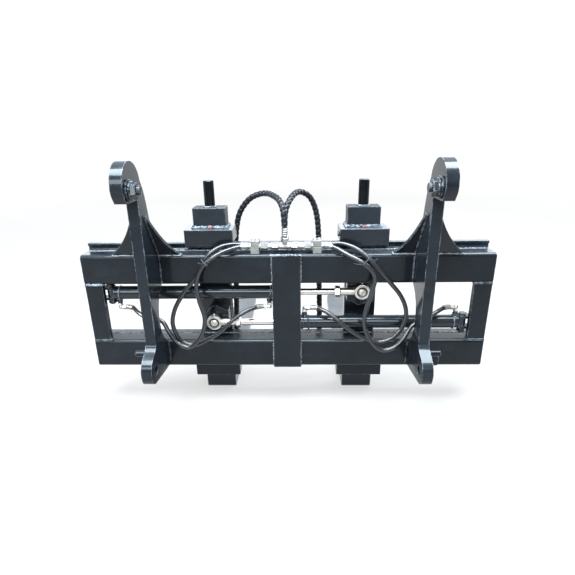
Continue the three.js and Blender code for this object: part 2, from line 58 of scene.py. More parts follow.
HALF_WIDTH = 800
BEAM_DEEP, BEAM_TALL, BEAM_ROUND = 80, 120, 14
FRAME_TALL = 484
TOP_BEAM_Z = FRAME_TALL - BEAM_TALL
CENTRE_HALF = 56
RAIL_Y, RAIL_THICK, RAIL_TALL, RAIL_OVERHANG = 80.3, 32, 150, 30
UPPER_RAIL_TOP = FRAME_TALL + RAIL_OVERHANG
EAR_INNER, EAR_OUTER, EAR_REAR = 492, 532, -142
HEAD_Y, HEAD_Z, HEAD_R, HEAD_SEAT = -178, 765, 80, 716
HITCH_Y, HITCH_Z = -213, 756
FORK_X, FORK_HALF = 306, 65
SHANK_Y, SHANK_FRONT = 115, 165
BLADE_TOP, GROUND, TIP_Y = -129, -174, 1235
HOOK_HALF, HOOK_REAR, HOOK_FRONT = 96, 60, 175
HOOK_SEAT, HOOK_TOP, CROWN_TOP, POST_TOP = 515, 568, 647, 750
CYL_Y, UPPER_CYL, LOWER_CYL = 40, 318, 186
TUBE_R, ROD_R = 27.3, 14
BASE_PIN, BARREL_BASE, BARREL_MOUTH = 715, 700, 40
EYE_X, EYE_R, EYE_HALF = 302, 31, 14
PISTON_X = 465
BASE_PORT, ROD_PORT, ELBOW_DROP, ELBOW_REACH = 685, 71, 63, 22
LINE_REAR, LINE_FRONT, LINE_Z = 20.5, 46.5, 511
HOSE_R, SUPPLY_R, GUARD_R = 8.75, 9.5, 12.6
CLAMP_IN, CLAMP_OUT, STEM_X = 103, 136, -5
SUPPLY_TOP, COUPLER_Z = 551.3, -32
SIDES = (("left", -1), ("right", 1))
CARRIAGE = "carriage"


def fork_body(side_name):
    return side_name + "_fork_unit"


# ---- camera -----------------------------------------------------------------------------

YAW, PITCH, ROLL = 0.026, 0.345, -0.014
forward = Vector((-sin(YAW) * cos(PITCH), cos(YAW) * cos(PITCH), -sin(PITCH)))
level = Vector((cos(YAW), sin(YAW), 0))
upright = level.cross(forward)
across = cos(ROLL) * level + sin(ROLL) * upright
up = -sin(ROLL) * level + cos(ROLL) * upright
camera = bpy.data.objects.new("camera", bpy.data.cameras.new("camera"))
camera.data.sensor_width = 36
camera.data.lens = 26.88
camera.data.clip_start = 0.05
camera.matrix_world = Matrix.Translation((0.0451, -2.0742, 1.0943)) @ Matrix(
    (across, up, -forward)).transposed().to_4x4()
link(camera)
bpy.context.scene.camera = camera

# ---- shader maths -----------------------------------------------------------------------


class Wire:
    """One output of a node, so that shader maths reads as plain arithmetic."""

    def __init__(self, finish, socket):
        self.finish, self.socket = finish, socket

    def maths(self, operation, *values):
        return self.finish.node("ShaderNodeMath", {"operation": operation}, dict(enumerate(values)))

    def __add__(self, other):
        return self.maths("ADD", self, other)

    def __sub__(self, other):
        return self.maths("SUBTRACT", self, other)

    def __rsub__(self, other):
        return self.maths("SUBTRACT", other, self)

    def __mul__(self, other):
        return self.maths("MULTIPLY", self, other)

    __radd__, __rmul__ = __add__, __mul__

    def between(self, low, high):
        """0 below low and 1 above high, straight in between."""
        return self.finish.node("ShaderNodeMapRange", {"clamp": True},
                                {"Value": self, "From Min": low, "From Max": high})


class Finish:
    """A material made from nodes."""

    def __init__(self, name):
        self.material = bpy.data.materials.new(name)
        self.material.use_nodes = True
        self.tree = self.material.node_tree
        self.tree.nodes.clear()
        self.place = self.node("ShaderNodeTexCoord", out="Object")

    def node(self, kind, settings=None, inputs=None, out=0):
        made = self.tree.nodes.new(kind)
        for key, value in (settings or {}).items():
            setattr(made, key, value)
        for key, value in (inputs or {}).items():
            if isinstance(value, Wire):
                self.tree.links.new(value.socket, made.inputs[key])
            else:
                made.inputs[key].default_value = value
        return Wire(self, made.outputs[out])

    def noise(self, scale, detail=3, rough=0.55, where=None):
        return self.node("ShaderNodeTexNoise", None, {
            "Vector": where or self.place, "Scale": scale, "Detail": detail, "Roughness": rough})

    def stretched(self, x, y, z):
        """The place in the frame, drawn out along the axes with the smaller numbers."""
        return self.node("ShaderNodeVectorMath", {"operation": "MULTIPLY"},
                         {0: self.place, 1: (x, y, z)})

    def mixed(self, share, first, second):
        first, second = ((*c, 1) if isinstance(c, tuple) else c for c in (first, second))
        return self.node("ShaderNodeMix", {"data_type": "RGBA"},
                         {0: share, 6: first, 7: second}, out=2)

    def upward(self):
        """1 on faces that look up, 0 on upright ones and below."""
        normal = self.node("ShaderNodeNewGeometry", out="Normal")
        return self.node("ShaderNodeSeparateXYZ", None, {0: normal}, out="Z").between(0.3, 0.95)

    def rim(self, reach):
        """1 along the edges of the piece, 0 away from them."""
        normal = self.node("ShaderNodeNewGeometry", out="Normal")
        rounded = self.node("ShaderNodeBevel", {"samples": 4}, {"Radius": reach})
        same = self.node("ShaderNodeVectorMath", {"operation": "DOT_PRODUCT"},
                         {0: normal, 1: rounded}, out="Value")
        return (1 - same).between(0.01, 0.12)

    def bump(self, height, strength, distance, under=None):
        inputs = {"Height": height, "Strength": strength, "Distance": distance}
        if under:
            inputs["Normal"] = under
        return self.node("ShaderNodeBump", None, inputs)

    def surface(self, **values):
        """The finished surface. Names are the shader's own, with _ for spaces."""
        shader = self.node("ShaderNodeBsdfPrincipled", None,
                           {key.replace("_", " "): value for key, value in values.items()})
        end = self.tree.nodes.new("ShaderNodeOutputMaterial")
        self.tree.links.new(shader.socket, end.inputs["Surface"])
        return self.material


def shade(share, *colour):
    return tuple(c * share for c in colour)


def black_paint(name, peel=1.0, dust=1.0, gloss=0.13, glint_patches=0.0, tone=1.0, matt=0.0):
    """Blue-black enamel sprayed on steel: uneven coat, orange peel, dust on top, rims scuffed and also lightened as a
    painted highlight.

    peel deepens the orange peel, burnish lays bright patches on it that are painted glints of light, matt roughens it
    and tone scales its colour, which paler and darker copies use as painted light and shade.
    """
    f = Finish(name)
    cloud = f.noise(6, 4, 0.6)
    streak = f.noise(14, 4, 0.65, f.stretched(0.35, 1, 1))
    speck = f.noise(260, 2, 0.5)
    settled = f.upward() * cloud.between(0.3, 0.75) * (0.55 * dust)
    # rims lightened pale blue: partly real scuffing, partly a painted highlight along the edges
    scuff_and_glint = f.rim(0.005) * f.noise(45, 5, 0.7).between(0.42, 0.62)
    coat = f.mixed(cloud.between(0.35, 0.7), shade(tone, 0.0035, 0.0048, 0.0068),
                   shade(tone, 0.006, 0.0085, 0.0115))
    coat = f.mixed(streak.between(0.55, 0.8) * 0.5, coat, shade(tone, 0.011, 0.014, 0.0175))
    coat = f.mixed(settled, coat, (0.030, 0.036, 0.043))
    coat = f.mixed(scuff_and_glint * 0.8, coat, (0.20, 0.235, 0.275))
    # bright bluish patches: painted glints of light on the weld beads
    if glint_patches:
        coat = f.mixed(f.noise(120, 4, 0.7).between(0.45, 0.6) * glint_patches, coat, (0.18, 0.21, 0.25))
    rough = 0.16 + matt + cloud.between(0.3, 0.8) * 0.1 + streak.between(0.5, 0.8) * 0.12
    rough = rough + settled * 0.16 + scuff_and_glint * 0.1
    skin = f.bump(f.noise(170, 2, 0.5), 0.16 * peel, 0.0006)
    sag = f.bump(f.noise(22, 2, 0.5), 0.25 * peel, 0.0012, skin)
    grit = f.bump(speck.between(0.66, 0.75), 0.3, 0.0003, sag)
    return f.surface(Base_Color=coat, Roughness=rough, Normal=grit,
                     Coat_Weight=(1 - settled) * 0.24, Coat_Roughness=0.05,
                     Specular_IOR_Level=gloss, Specular_Tint=(0.80, 0.92, 1.0, 1))


def bare_metal(name, light, dark, rough, pit=0.0):
    """Plated, cast or turned metal: clouded tone, fine grain, darker dirt in random patches."""
    f = Finish(name)
    cloud = f.noise(30, 4, 0.6)
    lines = f.noise(500, 3, 0.6)
    dirt = f.noise(90, 5, 0.7).between(0.55, 0.75)
    tone = f.mixed(cloud.between(0.3, 0.7), light, dark)
    tone = f.mixed(dirt * 0.55, tone, shade(0.28, *dark))
    roughness = rough + lines.between(0.3, 0.7) * 0.1 + dirt * 0.25 + cloud * 0.06
    surface = f.bump(lines, 0.12, 0.0002)
    if pit:
        surface = f.bump(f.noise(420, 3, 0.6), pit, 0.0005, surface)
    return f.surface(Base_Color=tone, Roughness=roughness, Metallic=1.0, Normal=surface)


def chrome_plate(name):
    """Hard chrome on a ground rod, with oil smears along it."""
    f = Finish(name)
    smear = f.noise(18, 4, 0.6, f.stretched(0.25, 1, 1))
    ground = f.noise(700, 2, 0.5, f.stretched(3, 0.4, 0.4))
    tone = f.mixed(smear.between(0.45, 0.7), (0.62, 0.60, 0.58), (0.40, 0.38, 0.355))
    rough = 0.07 + smear.between(0.45, 0.75) * 0.16 + ground.between(0.4, 0.7) * 0.03
    return f.surface(Base_Color=tone, Roughness=rough, Metallic=1.0,
                     Normal=f.bump(ground, 0.05, 0.0001))


def hose_cover(name):
    """Rubber hose cover with the fine print of the wrapping cloth and a little dust."""
    f = Finish(name)
    cloud = f.noise(25, 4, 0.6)
    cloth = f.noise(900, 2, 0.5)
    dust = f.upward() * cloud.between(0.4, 0.75)
    tone = f.mixed(cloud, (0.005, 0.006, 0.008), (0.011, 0.013, 0.016))
    tone = f.mixed(dust * 0.25, tone, (0.06, 0.065, 0.072))
    rough = 0.2 + cloud.between(0.3, 0.7) * 0.08 + dust * 0.1
    return f.surface(Base_Color=tone, Roughness=rough, Normal=f.bump(cloth, 0.06, 0.0001),
                     Coat_Weight=0.3, Coat_Roughness=0.14)


def guard_plastic(name, pale=1.0):
    """Glossy black moulded plastic of the spiral guard and cable ties."""
    f = Finish(name)
    cloud = f.noise(40, 3, 0.6)
    scratch = f.noise(160, 5, 0.75).between(0.6, 0.75)
    tone = f.mixed(cloud, shade(pale, 0.006, 0.007, 0.010), shade(pale, 0.014, 0.016, 0.02))
    tone = f.mixed(scratch * 0.5, tone, (0.08, 0.085, 0.095))
    rough = 0.12 + cloud.between(0.4, 0.8) * 0.12 + scratch * 0.25
    return f.surface(Base_Color=tone, Roughness=rough, Normal=f.bump(cloud, 0.1, 0.0004),
                     Specular_IOR_Level=0.15)


def red_mark(name):
    """A dab of red marking paint, thin at its rim."""
    f = Finish(name)
    cloud = f.noise(220, 4, 0.6)
    tone = f.mixed(cloud.between(0.35, 0.65), (0.62, 0.012, 0.012), (0.36, 0.006, 0.008))
    return f.surface(Base_Color=tone, Roughness=0.28 + cloud * 0.2,
                     Normal=f.bump(cloud, 0.4, 0.0006))


PAINT = black_paint("black enamel")
# the weld beads carry painted glints: bright patches standing for light caught on them
WELD_PAINT = black_paint("black enamel over weld", peel=0.5, dust=0.4, gloss=0.5, glint_patches=0.9)
ROUND_PAINT = black_paint("black enamel on the barrels", peel=0.5, dust=0.4, gloss=0.36)
WORN_PAINT = black_paint("black enamel worn by the forks", peel=2.6, dust=1.4, gloss=0.28)
# darker copy of the same enamel: painted shade and dark reflection on the posts
SHADED_POST_PAINT = black_paint("black enamel on round bar", peel=0.6, dust=0.3, gloss=0.06, tone=0.4)
# paler copy of the same enamel: painted light on the crown blocks
LIT_CROWN_PAINT = black_paint("black enamel on the crown blocks", peel=2.6, dust=0.5, gloss=0.12,
                          tone=1.4, matt=0.3)
# paler copy of the same enamel: painted light on the ears
LIT_EAR_PAINT = black_paint("black enamel on the ears", tone=1.25, gloss=0.18)
CHROME = chrome_plate("hard chrome")
ZINC = bare_metal("bright zinc", (0.76, 0.75, 0.69), (0.48, 0.47, 0.43), 0.24)
DULL_ZINC = bare_metal("dull zinc", (0.42, 0.43, 0.42), (0.20, 0.20, 0.20), 0.34)
ALLOY = bare_metal("cast alloy", (0.33, 0.34, 0.325), (0.21, 0.22, 0.21), 0.42, pit=0.35)
DARK_STEEL = bare_metal("oiled steel", (0.16, 0.16, 0.17), (0.07, 0.07, 0.075), 0.3)
RUBBER = hose_cover("hose rubber")
GUARD = guard_plastic("guard plastic")
TIE = guard_plastic("cable tie nylon", pale=3.0)
RED = red_mark("red marking paint")
SLOTS = {CHROME: "rod_chrome", ALLOY: "clamp_alloy",
         **dict.fromkeys((ZINC, DULL_ZINC, DARK_STEEL), "zinc_plate"),
         **dict.fromkeys((RUBBER, TIE, GUARD), "hose_rubber"),
         **dict.fromkeys((PAINT, WELD_PAINT, ROUND_PAINT, WORN_PAINT, SHADED_POST_PAINT, LIT_CROWN_PAINT,
                          LIT_EAR_PAINT), "black_paint")}

# ---- making pieces ----------------------------------------------------------------------

X, Y, Z = Vector((1, 0, 0)), Vector((0, 1, 0)), Vector((0, 0, 1))
AXES = {"x": (Y, Z, X), "y": (X, Z, Y), "z": (X, Y, Z)}


def make(name, shapes, finish, body=CARRIAGE, edge=0.0, crease=38, stands_for=()):
    """Joins the shapes into one piece that rides on its body, its sharp edges rounded by edge mm."""
    mesh = bpy.data.meshes.new(name)
    whole = bmesh.new()
    for shape in shapes if isinstance(shapes, (list, tuple)) else [shapes]:
        bmesh.ops.recalc_face_normals(shape, faces=shape.faces)
        part = bpy.data.meshes.new("part")
        shape.to_mesh(part)
        shape.free()
        whole.from_mesh(part)
        bpy.data.meshes.remove(part)
    whole.transform(SET_DOWN)
    whole.to_mesh(mesh)
    whole.free()
    mesh.materials.append(finish)
    mesh.shade_smooth()
    piece = bpy.data.objects.new(name, mesh)
    link(piece)
    if edge:
        rounding = piece.modifiers.new("rounding", "BEVEL")
        rounding.width = edge * 0.001
        rounding.segments = 3
        rounding.limit_method = "ANGLE"
        rounding.angle_limit = radians(crease)
        flats = piece.modifiers.new("flats", "WEIGHTED_NORMAL")
        flats.mode = "FACE_AREA_WITH_ANGLE"
    else:
        mesh.set_sharp_from_angle(angle=radians(crease))
    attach(piece, body)
    if stands_for:
        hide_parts(*([stands_for] if isinstance(stands_for, str) else stands_for))
    finish in SLOTS
    return piece


def skinned(rings, closed=False):
    """A skin over rings that have the same number of points each."""
    bm = bmesh.new()
    made = [[bm.verts.new(p) for p in ring] for ring in rings]
    count = len(made[0])
    pairs = list(zip(made, made[1:])) + ([(made[-1], made[0])] if closed else [])
    for a, b in pairs:
        for i in range(count):
            j = (i + 1) % count
            bm.faces.new((a[i], a[j], b[j], b[i]))
    if not closed:
        bm.faces.new(list(reversed(made[0])))
        bm.faces.new(made[-1])
    return bm


def plate(outline, axis, start, end, hole=None):
    """A flat plate: an outline of two-number points, as thick as start to end along the axis."""
    a, b, c = AXES[axis]
    lift = [lambda p, t=t: a * p[0] + b * p[1] + c * t for t in (start, end)]
    if not hole:
        return skinned([[to(p) for p in outline] for to in lift])
    bm = bmesh.new()
    levels = []
    for to in lift:
        loops = [[bm.verts.new(to(p)) for p in loop] for loop in (outline, hole)]
        edges = [bm.edges.new((loop[i], loop[i - 1])) for loop in loops for i in range(len(loop))]
        bmesh.ops.triangle_fill(bm, use_beauty=True, edges=edges)
        levels.append(loops)
    for below, above in zip(*levels):
        for i in range(len(below)):
            bm.faces.new((below[i - 1], below[i], above[i], above[i - 1]))
    return bm


def block(x0, x1, y0, y1, z0, z1):
    return plate([(y0, z0), (y1, z0), (y1, z1), (y0, z1)], "x", x0, x1)


def circle(cx, cy, r, count=48, start=0.0, end=2 * pi):
    """Points round a circle, or along an arc with both ends."""
    whole = abs(end - start) > 6.28
    return [(cx + r * cos(t), cy + r * sin(t)) for t in
            (start + (end - start) * i / (count if whole else count - 1) for i in range(count))]


def bezier(*control, count=14):
    """Points along a curve with two to four control points, without its first one."""
    out = []
    for i in range(1, count + 1):
        points = [Vector(p) for p in control]
        while len(points) > 1:
            points = [p.lerp(q, i / count) for p, q in zip(points, points[1:])]
        out.append(tuple(points[0]))
    return out


def rounded(x0, x1, y0, y1, r, count=7):
    corners = ((x1 - r, y0 + r, -90), (x1 - r, y1 - r, 0), (x0 + r, y1 - r, 90), (x0 + r, y0 + r, 180))
    return [p for cx, cy, a in corners
            for p in circle(cx, cy, r, count, radians(a), radians(a + 90))]


def turned(profile, axis, centre, count=48, spin=0.0):
    """A piece turned on the lathe: (radius, place along the axis) from end to end."""
    a, b, c = AXES[axis]
    middle = Vector(centre)
    return skinned([[middle + c * t + a * x + b * y
                     for x, y in circle(0, 0, r, count, spin, spin + 2 * pi)]
                    for r, t in profile])


def bar(r, start, end, axis, centre, chamfer=1.0, count=48):
    start, end = sorted((start, end))
    return turned([(r - chamfer, start), (r, start + chamfer), (r, end - chamfer), (r - chamfer, end)],
                  axis, centre, count)


def hexagon(flats, start, end, axis, centre, spin=0.0, chamfer=1.4):
    """A nut or bolt head with its corners turned off."""
    start, end = sorted((start, end))
    r = flats / sqrt(3)
    return turned([(r * 0.9, start), (r, start + chamfer), (r, end - chamfer), (r * 0.9, end)],
                  axis, centre, 6, spin)


def washer(outer, inner, start, end, axis, centre, chamfer=0.8, count=48):
    start, end = sorted((start, end))
    a, b, c = AXES[axis]
    profile = [(inner, start), (outer - chamfer, start), (outer, start + chamfer),
               (outer, end - chamfer), (outer - chamfer, end), (inner, end)]
    return skinned([[Vector(centre) + c * t + a * x + b * y for x, y in circle(0, 0, r, count)]
                    for r, t in profile], closed=True)


def thread(r, start, end, axis, centre, pitch=2.5):
    """The end of a bolt, with its thread as fine rings."""
    start, end = sorted((start, end))
    turns = int((end - start) / pitch)
    profile = [(r - 1.2, start)]
    for i in range(turns):
        z = start + pitch * i
        profile += [(r - 0.9, z + 0.1 * pitch), (r, z + 0.45 * pitch), (r - 0.9, z + 0.85 * pitch)]
    return turned(profile + [(r - 1.6, end)], axis, centre, 24)


def spaced(path, step):
    """The path again, with points about step apart."""
    points = [Vector(p) for p in path]
    lengths = [0.0]
    for p, q in zip(points, points[1:]):
        lengths.append(lengths[-1] + (q - p).length)
    count = max(2, round(lengths[-1] / step))
    out, k = [], 0
    for i in range(count + 1):
        s = lengths[-1] * i / count
        while k < len(points) - 2 and lengths[k + 1] < s:
            k += 1
        span = max(lengths[k + 1] - lengths[k], 1e-9)
        out.append(points[k].lerp(points[k + 1], min(1, (s - lengths[k]) / span)))
    return out


def frames(path, closed=False):
    """(point, side, other side) along a path, turning with it and never about it."""
    n = len(path)
    out, side = [], None
    for i, p in enumerate(path):
        a = path[i - 1] if i or closed else p
        b = path[(i + 1) % n] if i < n - 1 or closed else p
        along = (b - a).normalized()
        if side is None:
            side = along.orthogonal().normalized()
        side = (side - along * side.dot(along)).normalized()
        out.append((p, side, along.cross(side)))
    return out


def tube(path, radius, count=14, closed=False):
    """A round bar along a path. radius is a number, or a function of (length so far, angle)."""
    rings, s, last = [], 0.0, None
    for p, u, v in frames(path, closed):
        s += (p - last).length if last is not None else 0.0
        last = p
        ring = []
        for i in range(count):
            t = 2 * pi * i / count
            r = radius(s, t) if callable(radius) else radius
            ring.append(p + (u * cos(t) + v * sin(t)) * r)
        rings.append(ring)
    return skinned(rings, closed=closed)


def route(points, step=6.0):
    """A smooth centripetal curve through the points, as a list of points about step apart."""
    p = [Vector(q) for q in points]
    p = [p[0] * 2 - p[1], *p, p[-1] * 2 - p[-2]]
    out = [p[1]]
    for i in range(1, len(p) - 2):
        a, b, c, d = p[i - 1:i + 3]
        da, db, dc = (max((v - u).length ** 0.5, 1e-4) for u, v in ((a, b), (b, c), (c, d)))
        m1 = ((b - a) / da - (c - a) / (da + db) + (c - b) / db) * db
        m2 = ((c - b) / db - (d - b) / (db + dc) + (d - c) / dc) * db
        for k in range(1, 13):
            t = k / 12
            out.append(b * (2 * t ** 3 - 3 * t ** 2 + 1) + m1 * (t ** 3 - 2 * t ** 2 + t)
                       + c * (3 * t ** 2 - 2 * t ** 3) + m2 * (t ** 3 - t ** 2))
    return spaced(out, step)


def length_of(path):
    return sum((q - p).length for p, q in zip(path, path[1:]))


chance = random.Random(7)


def bead(path, r=4.0, closed=False, ripple=3.2):
    """A weld bead: overlapping ripples, a little uneven in width and line."""
    points = spaced([*path, path[0]] if closed else path, 1.3)
    if closed:
        points = points[:-1]
    phase = chance.random() * 10
    wobble = [Vector((sin(i * 0.11 + phase), sin(i * 0.13 + 2 * phase),
                      sin(i * 0.09 + 3 * phase))) * 0.35 for i in range(len(points))]
    points = [p + w for p, w in zip(points, wobble)]

    def width(s, t):
        crest = abs(sin(pi * (s / ripple + 0.35 * cos(t))))
        return r * (0.84 + 0.16 * crest + 0.07 * sin(s * 0.21 + phase))
    return tube(points, width, 8, closed)


def mirrored(side, points):
    return [Vector((side * p[0], *p[1:])) for p in points]


def declare(name, path, radius, finish, node):
    """A hose along its path; its real length is worked out and left unused."""
    piece = make(name, tube(path, radius, 20), finish, stands_for=node, crease=50)
    round(length_of(path) / 1000, 3)
    return piece


# ---- hoses ------------------------------------------------------------------------------

END = CLAMP_OUT + 8.3
BASE_END, ROD_END = BASE_PORT - ELBOW_REACH - 0.3, ROD_PORT + ELBOW_REACH + 0.3
UPPER_ELBOW, LOWER_ELBOW = UPPER_CYL - ELBOW_DROP, LOWER_CYL + ELBOW_DROP


def cylinder_hose(way, line_y, port, run_in, elbow_z, *between):
    """From the end of a line through the given places, and straight into an elbow on a barrel."""
    return [(way * END, line_y, LINE_Z), (way * (END + 22), line_y, LINE_Z), *between,
            (way * (port + run_in), CYL_Y, elbow_z), (way * port, CYL_Y, elbow_z)]


CYLINDER_HOSES = {
    "upper_base_hose": cylinder_hose(
        -1, LINE_REAR, BASE_END, -8, UPPER_ELBOW, (-198, 6, 509), (-240, -22, 500),
        (-283, -39, 478), (-318, -43, 446), (-343, -43, 385), (-339, -43, 316), (-323, -43, 233),
        (-345, -44, 158), (-394, -45, 112), (-441, -44, 131), (-475, -34, 178), (-499, -21, 214),
        (-530, -18, 226), (-568, -14, 232), (-605, 8, 244), (-634, 34, 254)),
    "upper_rod_end_hose": cylinder_hose(
        -1, LINE_FRONT, ROD_END, 8, UPPER_ELBOW, (-205, 38, 516), (-250, 12, 513),
        (-296, -10, 487), (-327, -18, 442), (-350, -20, 400), (-402, -20, 337), (-447, -20, 262),
        (-459, -20, 198), (-433, -20, 130), (-378, -20, 109), (-331, -20, 128), (-271, -16, 165),
        (-219, -6, 214), (-164, 10, 246), (-122, 34, 254)),
    "lower_base_hose": cylinder_hose(
        1, LINE_REAR, BASE_END, -8, LOWER_ELBOW, (198, 6, 502), (234, -20, 486),
        (274, -37, 468), (314, -43, 440), (336, -43, 404), (325, -43, 340), (308, -43, 266),
        (305, -43, 205), (330, -44, 143), (376, -45, 99), (422, -44, 106), (463, -35, 142),
        (496, -20, 190), (548, -14, 218), (598, 8, 240), (636, 34, 248)),
    "lower_rod_end_hose": cylinder_hose(
        1, LINE_FRONT, ROD_END, 8, LOWER_ELBOW, (206, 38, 517), (256, 12, 508),
        (312, -10, 472), (347, -19, 434), (396, -20, 379), (447, -20, 315), (470, -20, 250),
        (458, -20, 183), (423, -20, 140), (369, -20, 121), (323, -20, 133), (255, -16, 170),
        (200, -6, 216), (158, 12, 241), (122, 35, 249)),
}
SUPPLY_HOSES = {
    "left_supply": [
        (STEM_X, LINE_REAR, SUPPLY_TOP), (STEM_X, LINE_REAR, 572), (STEM_X, LINE_REAR, 606),
        (-8, 26, 643), (-16, 45, 668), (-30, 76, 684), (-51, 114, 692), (-74, 152, 695),
        (-107, 182, 690), (-148, 200, 671), (-182, 207, 635), (-201, 208, 599), (-213, 208, 550),
        (-219, 208, 502), (-227, 208, 359), (-233, 208, 194), (-241, 208, 60),
        (-241, 208, COUPLER_Z + 8), (-241, 208, COUPLER_Z)],
    "right_supply": [
        (STEM_X, LINE_FRONT, SUPPLY_TOP), (STEM_X, LINE_FRONT, 572), (STEM_X, LINE_FRONT, 601),
        (-2, 53, 638), (6, 72, 662), (24, 112, 688), (44, 150, 699), (66, 178, 695),
        (94, 196, 675), (113, 206, 640), (125, 208, 596), (131, 208, 547), (134, 208, 491),
        (137, 208, 357), (140, 208, 216), (142, 208, 63),
        (142, 208, COUPLER_Z + 8), (142, 208, COUPLER_Z)],
}


def ferrule(path, r, long):
    """The crimped end of a hose: a turned sleeve along the path's first stretch, with crimp rings."""
    points = spaced(path, 1.0)[:int(long)]

    def width(s, t):
        if s < 3 or s > long - 4:
            return r + 0.9
        return r + 1.9 - (0.9 if 4 < s % 9 < 7 else 0.0)
    return tube(points, width, 28)


paths = {}
for name, points in CYLINDER_HOSES.items():
    path = paths[name] = route(points)
    ends = [make(f"{name}_{end}_ferrule", ferrule(line, HOSE_R, 34), DULL_ZINC, crease=30)
            for end, line in (("line", path), ("port", path[::-1]))]
    declare(f"{name}_run", path, HOSE_R, RUBBER, name)

PITCH_OF_GUARD = 21
for name, points in SUPPLY_HOSES.items():
    path = paths[name] = route(points)

    def wrap(s, t):
        """Flat plastic strip wound round the hose in broad turns, with a narrow cleft between."""
        turn = (s / PITCH_OF_GUARD - t / (2 * pi)) % 1.0
        return GUARD_R - 3.0 * (1 - sin(pi * turn) ** 0.5)
    covered = spaced(path, 2.0)[20:-16]
    guard = make(f"{name}_guard", tube(covered, wrap, 28), GUARD, crease=60)
    sleeve = make(f"{name}_ferrule", ferrule(path, SUPPLY_R, 34), DULL_ZINC, crease=30)
    x, y = points[-1][:2]
    c = COUPLER_Z - 0.3
    coupler = make(f"{name}_coupler_body", [
        turned([(4, c - 64), (8.4, c - 64), (9, c - 63.4), (9, c - 60), (11, c - 58.5), (11, c - 52),
                (9.8, c - 51), (9.8, c - 45), (11, c - 44), (11, c - 40)], "z", (x, y, 0), 40),
        hexagon(27, c - 40, c - 20, "z", (x, y, 0)),
        turned([(10.5, c - 20), (10.5, c - 12), (9.7, c - 11), (9.7, c - 8), (10.5, c - 7),
                (10.5, c)], "z", (x, y, 0), 40),
    ], ZINC, stands_for=f"{name}_coupler")
    declare(f"{name}_hose_run", path, SUPPLY_R, RUBBER,
            f"{name}_hose")

# ---- frame ------------------------------------------------------------------------------

for name, z in (("top_beam", TOP_BEAM_Z), ("bottom_beam", 0)):
    section = rounded(0, BEAM_DEEP, z, z + BEAM_TALL, BEAM_ROUND)
    make(f"{name}_tube", plate(section, "x", -HALF_WIDTH, HALF_WIDTH), PAINT,
         edge=1.2, stands_for=name)
for side_name, side in SIDES:
    x0, x1 = sorted((side * (HALF_WIDTH - 70), side * HALF_WIDTH))
    make(f"{side_name}_upright_plate", block(x0, x1, 2, 22, BEAM_TALL + 0.3, TOP_BEAM_Z - 0.3),
         PAINT, edge=1.5, stands_for=f"{side_name}_upright")
make("centre_plate_flat", block(-CENTRE_HALF, CENTRE_HALF, -12.3, -0.3, 2, FRAME_TALL - 2),
     PAINT, edge=1.2, stands_for="centre_plate")

# flat bars with a hooked lip along one edge, behind which the forks' hooks catch
for name, z, lip in (("upper_rail", UPPER_RAIL_TOP - RAIL_TALL, 1), ("lower_rail", -RAIL_OVERHANG, -1)):
    rear, front, tall = RAIL_Y, RAIL_Y + RAIL_THICK, RAIL_TALL
    shape = [(rear, 0), (rear, tall - 30), (rear + 6, tall - 22), (rear + 6, tall - 15), (rear, tall - 9),
             (rear, tall - 3), (rear + 3, tall), (front - 8, tall), (front, tall - 8), (front, 0)]
    shape = [(y, z + h if lip > 0 else z + tall - h) for y, h in shape]
    make(f"{name}_bar", plate(shape, "x", -HALF_WIDTH, HALF_WIDTH), WORN_PAINT,
         edge=1.6, stands_for=name, crease=20)

# ---- ears and gussets -------------------------------------------------------------------

EAR = [(-0.3, 16), (-0.3, BEAM_TALL + 2),
       *bezier((-0.3, BEAM_TALL + 2), (-50, 150), (-71, 195), (-71, 245)),
       *bezier((-71, 245), (-71, 300), (-45, 345), (-0.3, TOP_BEAM_Z - 2)),
       (-0.3, FRAME_TALL),
       *bezier((-0.3, FRAME_TALL), (-30, 560), (-48, 620), (-58, 670)),
       *bezier((-58, 670), (-72, 730), (-78, 745), (HEAD_Y + HEAD_R, HEAD_Z + 10)),
       *circle(HEAD_Y, HEAD_Z, HEAD_R, 36, 0.14, pi),
       *bezier((HEAD_Y - HEAD_R, HEAD_Z), (HEAD_Y - HEAD_R, 742), (-250, 738), (-236, HEAD_SEAT)),
       (EAR_REAR, HEAD_SEAT), (EAR_REAR, 186),
       *bezier((EAR_REAR, 186), (EAR_REAR, 140), (-226, 150), (-226, 92)),
       *bezier((-226, 92), (-226, 55), (-212, 37), (-185, 36)),
       (-60, 21)]
LEAN, GUSSET_TOP, GUSSET_THICK = 0.643, 655, 19


def gusset(side, toe, face, sag):
    """A plate that stands on the top beam's rear edge and leans back along the ear."""
    foot = FRAME_TALL + 0.3
    inward = copysign(1, toe - face)
    shape = [(face, foot), (toe, foot), (toe, foot + 6),
             *bezier((toe, foot + 6), sag, (face + inward * 5, GUSSET_TOP), count=20),
             (face, GUSSET_TOP)]
    return skinned([[Vector((side * a, y - LEAN * (b - foot), b)) for a, b in shape]
                    for y in (0, GUSSET_THICK)])


